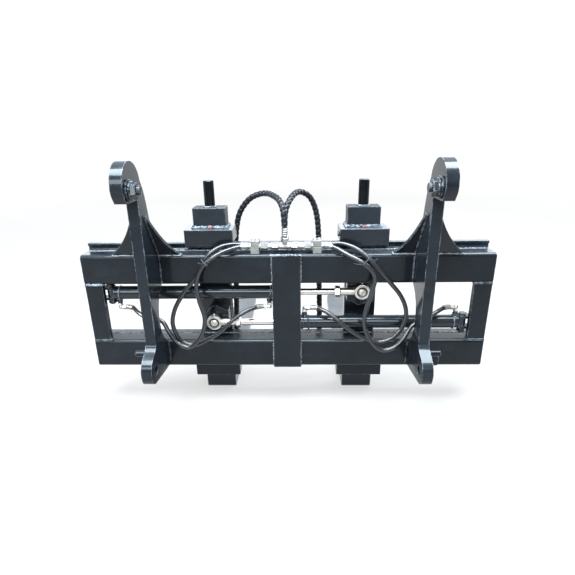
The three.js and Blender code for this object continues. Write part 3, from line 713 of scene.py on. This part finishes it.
for side_name, side in SIDES:
    x0, x1 = sorted((side * EAR_INNER, side * EAR_OUTER))
    make(f"{side_name}_ear_plate", plate(EAR, "x", x0, x1, circle(-174, 82, 20, 40)[::-1]),
         LIT_EAR_PAINT, edge=2.4, stands_for=f"{side_name}_ear")
    for place, toe, face, sag in (("outer", 668, EAR_OUTER + 0.3, (588, 553)),
                                  ("inner", 408, EAR_INNER - 0.3, (456, 520))):
        make(f"{side_name}_{place}_gusset_plate", gusset(side, toe, face, sag), PAINT, edge=1.6,
             stands_for=f"{side_name}_{place}_gusset")
    centre = (0, HITCH_Y, HITCH_Z)
    inner, outer = side * EAR_INNER, side * EAR_OUTER
    make(f"{side_name}_hitch_pin", [
        thread(15, inner - side * 40, inner - side * 8, "x", centre),
        bar(15, inner - side * 8, outer + side * 4, "x", centre),
        bar(19, outer + side * 0.3, outer + side * 7, "x", centre, 2.0),
    ], WORN_PAINT, stands_for=f"{side_name}_hitch_bolt")
    make(f"{side_name}_hitch_washer_ring",
         washer(35, 15.4, inner - side * 0.3, inner - side * 7.3, "x", centre, 1.2),
         PAINT, stands_for=f"{side_name}_hitch_washer", crease=30)
    make(f"{side_name}_hitch_nut_body", [
        hexagon(52, inner - side * 14, inner - side * 31, "x", centre, 0.3, 3.0),
        bar(30, inner - side * 7.6, inner - side * 15, "x", centre, 1.5),
    ], WORN_PAINT, stands_for=f"{side_name}_hitch_nut", crease=25)
    stub = [bar(12, outer + side * 0.3, outer + side * 62, "x", (0, -98, 112), 2.5)]
    if side > 0:
        stub.append(plate(rounded(outer + 0.4, outer + 56, 62, 103, 9, 6), "y", -104, -93))
    make(f"{side_name}_foot_stub_pin", stub,
         PAINT, stands_for=f"{side_name}_foot_stub", crease=30)

# ---- forks ------------------------------------------------------------------------------


def fork(middle):
    """Shank and tapered blade in one forging, rounded along its edges and narrowed at the tip."""
    side_view = [
        (SHANK_Y, HOOK_SEAT - 0.3), (SHANK_FRONT, HOOK_SEAT - 0.3), (SHANK_FRONT, BLADE_TOP + 25),
        *bezier((SHANK_FRONT, BLADE_TOP + 25), (SHANK_FRONT, BLADE_TOP),
                (SHANK_FRONT + 25, BLADE_TOP), count=8)]
    taper_y, narrow_y = 780, 1085
    top = (400, 600, taper_y, 860, 940, 1020, narrow_y, 1120, 1150, 1175, 1195, 1212, 1225, 1232, TIP_Y)

    def under(y):
        """Height of the underside at y, along the blade's taper."""
        if y <= taper_y:
            return GROUND
        t = 0.5
        for _ in range(20):
            here = taper_y * (1 - t) ** 2 + 2 * 1010 * t * (1 - t) + TIP_Y * t * t
            t += (y - here) / (2 * (TIP_Y - taper_y))
            t = min(1, max(0, t))
        return GROUND * (1 - t * t) + (BLADE_TOP - 12) * t * t

    def half(y):
        """Half the blade's width at y, narrowed towards the tip."""
        if y <= narrow_y:
            return FORK_HALF
        t = 0.5
        for _ in range(30):
            here = narrow_y * (1 - t) ** 2 + 2 * TIP_Y * t * (1 - t) + TIP_Y * t * t
            t = min(1, max(0, t + (y - here) / 300))
        return FORK_HALF * (1 - t * t) + 24 * t * t
    bm = bmesh.new()
    outline = [(*p, FORK_HALF) for p in side_view] + [(y, BLADE_TOP, half(y)) for y in top]
    outline += [(y, under(y), half(y)) for y in reversed(top)]
    outline += [(*p, FORK_HALF) for p in
                ((SHANK_Y + 14, GROUND), (SHANK_Y + 4, GROUND + 4), (SHANK_Y, GROUND + 14))]
    flanks = [[bm.verts.new((middle + k * h, y, z)) for y, z, h in outline] for k in (-1, 1)]
    count = len(outline)
    for i in range(count):
        j = (i + 1) % count
        bm.faces.new((flanks[0][i], flanks[0][j], flanks[1][j], flanks[1][i]))
    # the flanks: one face for the shank, then strips along the blade
    first, n_top = len(side_view), len(top)
    for f in flanks:
        bm.faces.new([*f[:first + 1], *f[-4:]])
        for k in range(n_top - 1):
            a, b = first + k, count - 4 - k
            bm.faces.new((f[a], f[a + 1], f[b - 1], f[b]))
    return bm


def hooked(middle, points):
    return plate(points, "x", middle - HOOK_HALF, middle + HOOK_HALF)


def rod_lug(side):
    z = LOWER_CYL if side < 0 else UPPER_CYL
    flip = 1 if side < 0 else -1

    def at(a, b):
        return (side * (EYE_X + a), z + flip * b)
    shape = [at(38, -36), at(38, 22), *bezier(at(38, 22), at(32, 52), at(4, 74), at(-16, 64)),
             *bezier(at(-16, 64), at(-30, 56), at(-40, 48), at(-58, 46)), at(-58, -36)]
    return plate(shape, "y", CYL_Y + EYE_HALF + 3, SHANK_Y - 0.3)


for side_name, side in SIDES:
    body, middle = fork_body(side_name), side * FORK_X
    make(f"{side_name}_fork_forging", fork(middle), WORN_PAINT, body, edge=4.0,
         stands_for=f"{side_name}_fork", crease=50)
    make(f"{side_name}_top_hook_block", hooked(middle, [
        (HOOK_REAR, HOOK_SEAT - 13), (HOOK_REAR + 19, HOOK_SEAT - 13), (HOOK_REAR + 19, HOOK_SEAT),
        (HOOK_FRONT, HOOK_SEAT), (HOOK_FRONT, HOOK_TOP), (HOOK_REAR, HOOK_TOP)]),
        WORN_PAINT, body, edge=2.5, stands_for=f"{side_name}_top_hook")
    make(f"{side_name}_crown", block(middle - 65, middle + 65, 100, HOOK_FRONT, HOOK_TOP + 0.3, CROWN_TOP),
         LIT_CROWN_PAINT, body, edge=2.5, stands_for=f"{side_name}_crown_block")
    make(f"{side_name}_post_bar", bar(21, CROWN_TOP + 0.3, POST_TOP, "z", (middle, 137, 0), 2.0),
         SHADED_POST_PAINT, body, stands_for=f"{side_name}_post", crease=30)
    seat = -RAIL_OVERHANG - 1.5
    make(f"{side_name}_bottom_hook_block", hooked(middle, [
        (HOOK_REAR, -78), (SHANK_Y - 0.3, -78), (SHANK_Y - 0.3, seat), (HOOK_REAR + 19, seat),
        (HOOK_REAR + 19, seat + 13), (HOOK_REAR, seat + 13)]),
        PAINT, body, edge=2.5, stands_for=f"{side_name}_bottom_hook")
    make(f"{side_name}_rod_lug_plate", rod_lug(side), PAINT, body, edge=2.0,
         stands_for=f"{side_name}_rod_lug")

# ---- cylinders --------------------------------------------------------------------------

for name, base, z, moved in (("upper", -1, UPPER_CYL, "right"), ("lower", 1, LOWER_CYL, "left")):
    axle = (0, CYL_Y, z)
    body = fork_body(moved)

    def lathe(profile):
        """Turned about the cylinder's axis; places are measured from the middle towards its pin."""
        return turned([(r, base * t) for r, t in profile], "x", axle, 56)
    gland = [(14.6, 3), (14.6, 0), (27.5, 0), (29.5, 2), (29.5, 8), (27.6, 9), (27.6, 12), (29.5, 13),
             (29.5, 24), (TUBE_R, 26.5)]
    barrel = lathe([*((r, BARREL_MOUTH + t) for r, t in gland),
                    (TUBE_R, BARREL_BASE - 26), (TUBE_R, BARREL_BASE - 3), (24, BARREL_BASE)])
    pin_x = base * BASE_PIN
    x0, x1 = sorted((base * (BARREL_BASE - 6), pin_x))
    tang = [block(x0, x1, CYL_Y - 15, CYL_Y + 15, z - 16, z + 16),
            bar(15, z - 16, z + 16, "z", (pin_x, CYL_Y, 0))]
    drop = base
    bosses = [bar(12, z + drop * 18, z + drop * 34, "z", (base * x, CYL_Y, 0), 1.2)
              for x in (BASE_PORT, ROD_PORT)]
    make(f"{name}_barrel_tube", [barrel, *tang, *bosses], ROUND_PAINT,
         stands_for=f"{name}_barrel", crease=32)
    for place, x, turn in (("base", BASE_PORT, -1), ("rod_end", ROD_PORT, 1)):
        level_z = z + drop * ELBOW_DROP
        px = base * x
        stem = (px, CYL_Y, 0)
        out = base * turn
        make(f"{name}_{place}_stem", [
            hexagon(21, z + drop * 34, z + drop * 41, "z", stem),
            bar(8.4, z + drop * 33, level_z - drop * 10, "z", stem),
        ], PAINT, crease=30)
        knuckle = [(9.4 * sin(pi * k / 12) + 0.01, level_z - 9.4 * cos(pi * k / 12)) for k in range(13)]
        make(f"{name}_{place}_elbow", [
            hexagon(19, level_z - drop * 17, level_z - drop * 8, "z", stem),
            turned(knuckle, "z", stem, 32),
            bar(7.6, px, px + out * 12, "x", (0, CYL_Y, level_z)),
            hexagon(19, px + out * 9, px + out * ELBOW_REACH, "x", (0, CYL_Y, level_z)),
        ], ZINC, crease=30)
    make(f"{name}_cap_welds", [
        bead([Vector((base * (BARREL_BASE - 24), CYL_Y + (TUBE_R + 0.6) * a, z + (TUBE_R + 0.6) * b))
              for a, b in circle(0, 0, 1, 40)], 2.6, True),
        *[bead([Vector((base * x + 12.6 * a, CYL_Y + 12.6 * b, z + drop * (20 + 5.0 * b * b)))
                for a, b in circle(0, 0, 1, 24)], 2.4, True) for x in (BASE_PORT, ROD_PORT)],
    ], WELD_PAINT)

    stop = EYE_X - 110
    make(f"{moved}_rod_bar", [
        lathe([(13, -stop), (ROD_R, -stop + 1.5), (ROD_R, PISTON_X - 34.5), (12, PISTON_X - 34)]),
        lathe([(19, PISTON_X - 34), (19.7, PISTON_X - 33), (19.7, PISTON_X - 1), (19, PISTON_X)]),
        thread(10, -base * (stop - 2), -base * (stop + 30), "x", axle),
    ], CHROME, body, stands_for=f"{moved}_rod", crease=30)
    make(f"{moved}_jam_nut_body",
         hexagon(41, -base * (stop + 0.3), -base * (stop + 22), "x", axle, 0.2, 2.5),
         ZINC, body, stands_for=f"{moved}_jam_nut", crease=25)
    eye, h = (-base * EYE_X, CYL_Y, z), EYE_HALF
    ring = skinned([[Vector(eye) + X * a + Z * b + Y * t for a, b in circle(0, 0, r, 64)] for r, t in (
        (20.4, -h + 3), (21.6, -h), (28.8, -h), (30.4, -h + 0.6), (EYE_R, -h + 2.4), (EYE_R, h - 2.4),
        (29, h), (21.6, h), (20.4, h - 3))], closed=True)
    neck = turned([(12, -base * (stop + 22.5)), (15, -base * (stop + 24)), (16, -base * (stop + 30)),
                   (16, -base * (EYE_X - 34)), (14.5, -base * (EYE_X - 27))], "x", axle, 40)
    grease = [bar(3.2, z + 29, z + 36, "z", (eye[0], CYL_Y, 0), 0.8, 16)]
    make(f"{moved}_rod_eye_ring", [ring, neck, *grease], ZINC, body,
         stands_for=f"{moved}_rod_eye", crease=28)
    make(f"{moved}_eye_ball", [
        turned([(9, -h + 1.5), (15.6, -h + 1.5), (17.2, -h + 4), (18.6, -h + 8), (18.6, h - 8),
                (17.2, h - 4), (15.6, h - 1.5), (9, h - 1.5)], "y", eye),
        turned([(18.2, -h + 4.4), (20.1, -h + 3.6), (20.1, h - 3.6), (18.2, h - 4.4)], "y", eye),
    ], DARK_STEEL, body, crease=28)
    make(f"{moved}_eye_pin_head", [
        turned([(5.0, -h - 4.2), (7.8, -h - 5), (9.2, -h - 4.6), (10, -h - 3.6), (10, -h), (10, 55)],
               "y", eye, 36),
        turned([(9.8, -h - 0.6), (13.4, -h - 0.6), (14.4, -h + 0.2), (14.4, -h + 1.6)], "y", eye, 40),
        hexagon(9, -h - 5, -h - 3.4, "y", eye),
    ], ZINC, body, stands_for=f"{moved}_eye_pin", crease=28)

    # bracket at the pinned end, with its bolt
    reach, thick = 17.3, 10
    out, back = HALF_WIDTH - 38, 12
    far = TOP_BEAM_Z - 0.3 - z if base < 0 else z - BEAM_TALL - 0.3

    def at(a, b):
        return (base * a, z - drop * b)
    tip, inside = BASE_PIN - 14, out - back
    shape = [at(tip, reach), at(inside, reach), at(inside, -reach), at(tip, -reach),
             at(tip, -reach - thick), at(out, -reach - thick), at(out, far), at(inside, far),
             at(inside, reach + thick), at(tip, reach + thick)]
    make(f"{name}_base_bracket_plate", plate(shape, "y", 22.3, CYL_Y + 19), PAINT, edge=1.5,
         stands_for=f"{name}_base_bracket")
    over, below = z + reach + thick + 0.3, z - reach - thick - 0.3
    stem = (pin_x, CYL_Y, 0)
    make(f"{name}_base_bolt_body", [
        hexagon(30, over + 2, over + 11, "z", stem), bar(14, over, over + 2, "z", stem, 0.4),
        bar(10, below, over, "z", stem), hexagon(30, below - 15, below, "z", stem),
        thread(10, below - 20, below - 15, "z", stem),
    ], WORN_PAINT, stands_for=f"{name}_base_bolt", crease=25)

# ---- lines and clamps -------------------------------------------------------------------

for name, y in (("rear", LINE_REAR), ("front", LINE_FRONT)):
    along = (0, y, LINE_Z)
    pieces = [bar(8, -CLAMP_OUT - 8, CLAMP_OUT + 8, "x", along)]
    for e in (-1, 1):
        near, far = ((20, 44), (70, 98)) if e > 0 else ((30, 54), (70, 98))
        pieces += [hexagon(22, e * near[0], e * near[1], "x", along, 0.1),
                   hexagon(22, e * far[0], e * far[1], "x", along, 0.35),
                   bar(9.6, e * (near[1] + 0.5), e * (near[1] + 5), "x", along)]
    pieces += [bar(10.5, STEM_X - 22, STEM_X + 22, "x", along, 2.0),
               bar(10, LINE_Z, LINE_Z + 22, "z", (STEM_X, y, 0)),
               hexagon(27, LINE_Z + 17, LINE_Z + 34, "z", (STEM_X, y, 0), 0.2),
               bar(9.5, LINE_Z + 34, LINE_Z + 40, "z", (STEM_X, y, 0))]
    make(f"{name}_line_pipe", pieces, DULL_ZINC, stands_for=f"{name}_line", crease=25)

for side_name, side in SIDES:
    x0, x1 = sorted((side * CLAMP_IN, side * CLAMP_OUT))
    middle = (x0 + x1) / 2
    halves = []
    for z0, z1, bow in ((FRAME_TALL + 0.3, LINE_Z - 0.8, 1), (LINE_Z + 0.8, 535, -1)):
        # the split face has a half-round seat for each pipe
        split = z1 if bow > 0 else z0
        seat = []
        for y in (LINE_REAR, LINE_FRONT):
            seat += [(y - 8.3 * cos(pi * k / 10), split - bow * 8.0 * sin(pi * k / 10))
                     for k in range(11)]
        edge_z = z0 if bow > 0 else z1
        halves.append(plate([(8, edge_z), (8, split), *seat, (57, split), (57, edge_z)], "x", x0, x1))
    make(f"{side_name}_clamp_block", halves, ALLOY, edge=1.6, stands_for=f"{side_name}_clamp", crease=50)
    make(f"{side_name}_clamp_bolts", [hexagon(12.5, 535, 541, "z", (middle + dx, 33.5, 0), 0.4 * dx, 1.0)
                                      for dx in (-8, 8)], ZINC, crease=25)

# ---- welds ------------------------------------------------------------------------------

beads = []
for z0, z1 in ((4, BEAM_TALL - 10), (TOP_BEAM_Z + 10, FRAME_TALL - 4)):
    beads += [bead([(s * CENTRE_HALF, -2, z0), (s * CENTRE_HALF, -2, z1)], 4.2) for s in (-1, 1)]
beads.append(bead([(-CENTRE_HALF - 6, -2.5, FRAME_TALL - 4), (-CENTRE_HALF, -3, FRAME_TALL - 2),
                   (CENTRE_HALF, -3, FRAME_TALL - 2), (CENTRE_HALF + 8, -2.5, FRAME_TALL - 5)], 4.6))
make("centre_plate_welds", beads, WELD_PAINT)

make("rail_welds", [bead([(-HALF_WIDTH + 4, RAIL_Y - 4, z), (HALF_WIDTH - 4, RAIL_Y - 4, z)], 6.5, ripple=5)
                    for z in (FRAME_TALL - 3.5, TOP_BEAM_Z + 3.5, BEAM_TALL - 3.5, 3.5)], WELD_PAINT)

for side_name, side in SIDES:
    beads = []
    for z in (BEAM_TALL + 0.5, TOP_BEAM_Z - 0.5):
        a, b = HALF_WIDTH - 72, HALF_WIDTH - 1
        beads.append([bead(mirrored(side, [(a, 1.5, z), (b, 1.5, z)]), 6.0, ripple=7),
                      bead(mirrored(side, [(a, 3, z), (a, 22, z)]), 3.6)])
    make(f"{side_name}_upright_foot_welds", beads[0], PAINT)
    # only the left upright's head welds get the painted glints; the right ones are plain enamel
    make(f"{side_name}_upright_head_welds", beads[1], WELD_PAINT if side < 0 else PAINT)

    beads, seams = [], []
    for face in (EAR_INNER - 2.5, EAR_OUTER + 2.5):
        seams.append(bead(mirrored(side, [(face, -2, TOP_BEAM_Z + 8), (face, -2, FRAME_TALL - 10)]), 4.6))
        seams.append(bead(mirrored(side, [(face, -2, 17), (face, -2, BEAM_TALL - 8)]), 4.6))
    for toe, face, way in ((668, EAR_OUTER, 1), (408, EAR_INNER, -1)):
        foot = FRAME_TALL + 1
        beads.append(bead(mirrored(side, [(face + way * 4, -1, foot - 1), (toe + way * 3, -1, foot - 1)]), 4.2))
        beads.append(bead(mirrored(side, [(toe + way * 1, -1, foot), (toe + way * 1, GUSSET_THICK - 3, foot)]), 3.6))
        beads.append(bead(mirrored(side, [(face + way * 4, GUSSET_THICK + 1, foot + 1),
                                          (toe, GUSSET_THICK + 1, foot + 1)]), 4.0))
        for y in (-1.0, GUSSET_THICK + 1.0):
            seams.append(bead(mirrored(side, [(face + way * 2, y, foot + 2),
                                              (face + way * 2, y - LEAN * (GUSSET_TOP - foot), GUSSET_TOP - 2)]), 4.4))
    beads.append(bead([Vector((side * (EAR_OUTER + 1.5), -98 + 13 * a, 112 + 13 * b))
                       for a, b in circle(0, 0, 1, 28)], 3.2, True))
    make(f"{side_name}_gusset_foot_welds", beads, WELD_PAINT)
    make(f"{side_name}_ear_welds", seams, PAINT)

    body, middle = fork_body(side_name), side * FORK_X
    ledge = HOOK_TOP + 2
    ring = [(middle - 67, 98, ledge), (middle + 67, 98, ledge), (middle + 67, HOOK_FRONT - 2, ledge),
            (middle - 67, HOOK_FRONT - 2, ledge)]
    post = [Vector((middle + 22.5 * a, 137 + 22.5 * b, CROWN_TOP + 1.5)) for a, b in circle(0, 0, 1, 32)]
    lug_z = LOWER_CYL if side < 0 else UPPER_CYL
    flip = 1 if side < 0 else -1
    lug = [(side * (EYE_X - 58), SHANK_Y - 2, lug_z - flip * 36), (side * (EYE_X + 38), SHANK_Y - 2, lug_z - flip * 36)]
    shank = [[(middle + k * (FORK_HALF + 1), SHANK_Y, HOOK_SEAT - 1), (middle + k * (FORK_HALF + 1), SHANK_FRONT + 2, HOOK_SEAT - 1)]
             for k in (-1, 1)]
    make(f"{side_name}_fork_welds", [
        bead([Vector((x, y, z)) for x, y, z in ring], 8.0, True, 4.6),
        bead(post, 4.4, True), bead(lug, 4.0),
        bead([(middle - 65, SHANK_FRONT + 3, HOOK_SEAT - 3), (middle + 65, SHANK_FRONT + 3, HOOK_SEAT - 3)], 5.0),
        *[bead(s, 4.5) for s in shank],
        bead([(middle - 66, SHANK_Y - 3, -79), (middle + 66, SHANK_Y - 3, -79)], 4.5),
    ], WELD_PAINT, body)
    dab = skinned([[Vector((middle + 2 + (6.5 + 1.5 * sin(5 * t)) * k * cos(t), 92.5 - (1 - k) * 2.2,
                            ledge + 1.5 + (5.0 + sin(3 * t + 1)) * k * sin(t)))
                    for t in (2 * pi * i / 24 for i in range(24))] for k in (1.0, 0.75, 0.35)])
    make(f"{side_name}_red_mark", dab, RED, body, crease=60)

make("right_hook_stop_bolt", [
    hexagon(17, FORK_X - HOOK_HALF - 8, FORK_X - HOOK_HALF - 1, "x", (0, 84, 545), 0.2),
    bar(10, FORK_X - HOOK_HALF - 1.5, FORK_X - HOOK_HALF + 2, "x", (0, 84, 545), 0.4),
], PAINT, fork_body("right"), crease=25)

# ---- cable ties -------------------------------------------------------------------------


def tie(name, hoses, r, side, along, tails):
    """A flat strap pulled round one or two hoses: its loop, its lock on the given side, its cut tails."""
    along = along.normalized()
    a, b = hoses
    wide = b - a
    wide -= along * wide.dot(along)
    u = wide.normalized() if wide.length > 0.5 else side
    v = along.cross(u)
    loop, outward = [], []
    for middle, start in ((a + wide, -90), (a, 90)):
        for k in range(13):
            t = radians(start + 180 * k / 12)
            outward.append(u * cos(t) + v * sin(t))
            loop.append(middle + outward[-1] * (r + 0.6))
    strap = skinned([[p + o * lift + along * w for lift, w in ((0, -2.4), (1.5, -2.4), (1.5, 2.4), (0, 2.4))]
                     for p, o in zip(loop, outward)], closed=True)
    end = a + wide * (1 if side.dot(u) > 0 else 0) + u * copysign(r + 4.5, side.dot(u))
    parts = [strap, skinned([[end + u * x + along * y + v * t for x, y in ((-4, -3.6), (4, -3.6), (4, 3.6), (-4, 3.6))]
                             for t in (-4, 4)])]
    for points in tails:
        line = route(points, 3)
        parts.append(skinned([[p + along * w + n * t for w, t in ((-2.2, -0.7), (2.2, -0.7), (2.2, 0.7), (-2.2, 0.7))]
                              for p, n in ((p, along.cross((line[min(i + 1, len(line) - 1)] - line[max(i - 1, 0)]).normalized()))
                                           for i, p in enumerate(line))]))
    return make(name, parts, TIE, crease=50)


def beside(first, second, target, other):
    """The points of two hoses nearest two places, and the way the second runs there."""
    out = []
    for name, place in ((first, target), (second, other)):
        line = paths[name]
        i = min(range(1, len(line) - 1), key=lambda k: (line[k] - Vector(place)).length)
        out.append(line[i])
        way = line[i + 1] - line[i - 1]
    return out, way


pair, way = beside("upper_base_hose", "upper_rod_end_hose", (-306, -41, 462), (-290, -14, 478))
tie("left_cable_tie", pair, HOSE_R, X, way, [
    [pair[0] + Vector((-9, -9, 2)), pair[0] + Vector((-17, -12, 4)), pair[0] + Vector((-24, -12, 8))],
    [pair[1] + Vector((12, -8, -8)), pair[1] + Vector((26, -12, -13)), pair[1] + Vector((42, -10, -14)),
     pair[1] + Vector((50, -8, -9))]])
pair, way = beside("lower_base_hose", "lower_rod_end_hose", (290, -41, 456), (318, -12, 466))
tie("right_cable_tie", pair, HOSE_R, X, way, [
    [pair[0] + Vector((-9, -9, 0)), pair[0] + Vector((-26, -12, 2)), pair[0] + Vector((-40, -12, 6))],
    [pair[1] + Vector((10, -8, -4)), pair[1] + Vector((20, -10, -2)), pair[1] + Vector((28, -9, 6))]])
waist = Vector((88, CYL_Y, LOWER_CYL))
tie("barrel_cable_tie", (waist, waist), TUBE_R, -Z, X, [
    [waist + Vector((0, -TUBE_R - 1.5, 8)), waist + Vector((-3, -TUBE_R - 2, 24)), waist + Vector((-5, -TUBE_R + 2, 40))],
    [waist - Z * (TUBE_R + 4), waist + Vector((7, -8, -TUBE_R - 12)), waist + Vector((13, -10, -TUBE_R - 9))],
    [waist - Z * (TUBE_R + 4), waist + Vector((-6, -6, -TUBE_R - 13)), waist + Vector((-9, -8, -TUBE_R - 8))]])

# ---- studio -----------------------------------------------------------------------------

studio = Finish("studio floor")
away = studio.node("ShaderNodeVectorMath", {"operation": "LENGTH"}, {0: studio.place}, out="Value")
ahead = studio.node("ShaderNodeVectorMath", {"operation": "DOT_PRODUCT"}, {0: studio.place, 1: (0, 1, 0)}, out="Value")
glow = studio.mixed(away.between(1.0, 9.0), (0.57, 0.57, 0.57), (0.93, 0.93, 0.93))
glow = studio.mixed(ahead.between(-8.0, -1.4), (0.42, 0.42, 0.42), glow)
tint = studio.mixed(studio.noise(1.5, 2, 0.5), (0.115, 0.115, 0.115), (0.13, 0.13, 0.13))
floor_mesh = bpy.data.meshes.new("studio floor")
disc = bmesh.new()
bmesh.ops.create_circle(disc, cap_ends=True, segments=96, radius=60)
disc.to_mesh(floor_mesh)
disc.free()
floor_mesh.materials.append(studio.surface(Base_Color=tint, Roughness=0.9, Emission_Color=glow,
                                           Emission_Strength=1.0, Specular_IOR_Level=0.1))
floor = bpy.data.objects.new("studio_floor", floor_mesh)
link(floor)

world = bpy.data.worlds.new("studio")
world.use_nodes = True
world.node_tree.nodes["Background"].inputs[0].default_value = (0.98, 0.99, 1.0, 1)
sky = world.node_tree.nodes
way = sky.new("ShaderNodeTexCoord")
split = sky.new("ShaderNodeSeparateXYZ")
fade = sky.new("ShaderNodeMapRange")
for slot, value in zip(("From Min", "From Max", "To Min", "To Max"), (-0.6, 0.5, 0.45, 1.06)):
    fade.inputs[slot].default_value = value
world.node_tree.links.new(way.outputs["Generated"], split.inputs[0])
world.node_tree.links.new(split.outputs["Y"], fade.inputs["Value"])
world.node_tree.links.new(fade.outputs["Result"], sky["Background"].inputs[1])
bpy.context.scene.world = world


def softbox(name, place, target, wide, tall, power, colour=(1, 1, 1)):
    light = bpy.data.objects.new(name, bpy.data.lights.new(name, "AREA"))
    light.data.shape, light.data.size, light.data.size_y = "RECTANGLE", wide, tall
    light.data.energy, light.data.color = power, colour
    light.location = place
    light.rotation_mode = "QUATERNION"
    light.rotation_quaternion = (Vector(target) - Vector(place)).to_track_quat("-Z", "Y")
    light.visible_camera = False
    link(light)


softbox("overhead", (0.2, -1.0, 3.6), (0, -0.3, 0.5), 4.6, 1.6, 800, (0.86, 0.94, 1.0))
softbox("front panel", (-0.6, -4.4, 2.7), (0, -0.4, 0.7), 4.4, 1.3, 215, (0.90, 0.96, 1.0))
softbox("beyond", (0, 5.0, 2.25), (0, 0, 0.8), 8.0, 1.0, 85, (0.86, 0.94, 1.0))
softbox("key", (-3.0, -1.6, 2.2), (0, -0.4, 0.6), 0.6, 1.8, 150, (1.0, 0.98, 0.95))
softbox("rim", (2.8, 2.4, 2.4), (0, 0, 0.6), 0.8, 2.0, 80, (0.92, 0.96, 1.0))
bpy.context.scene.view_settings.view_transform = "Standard"
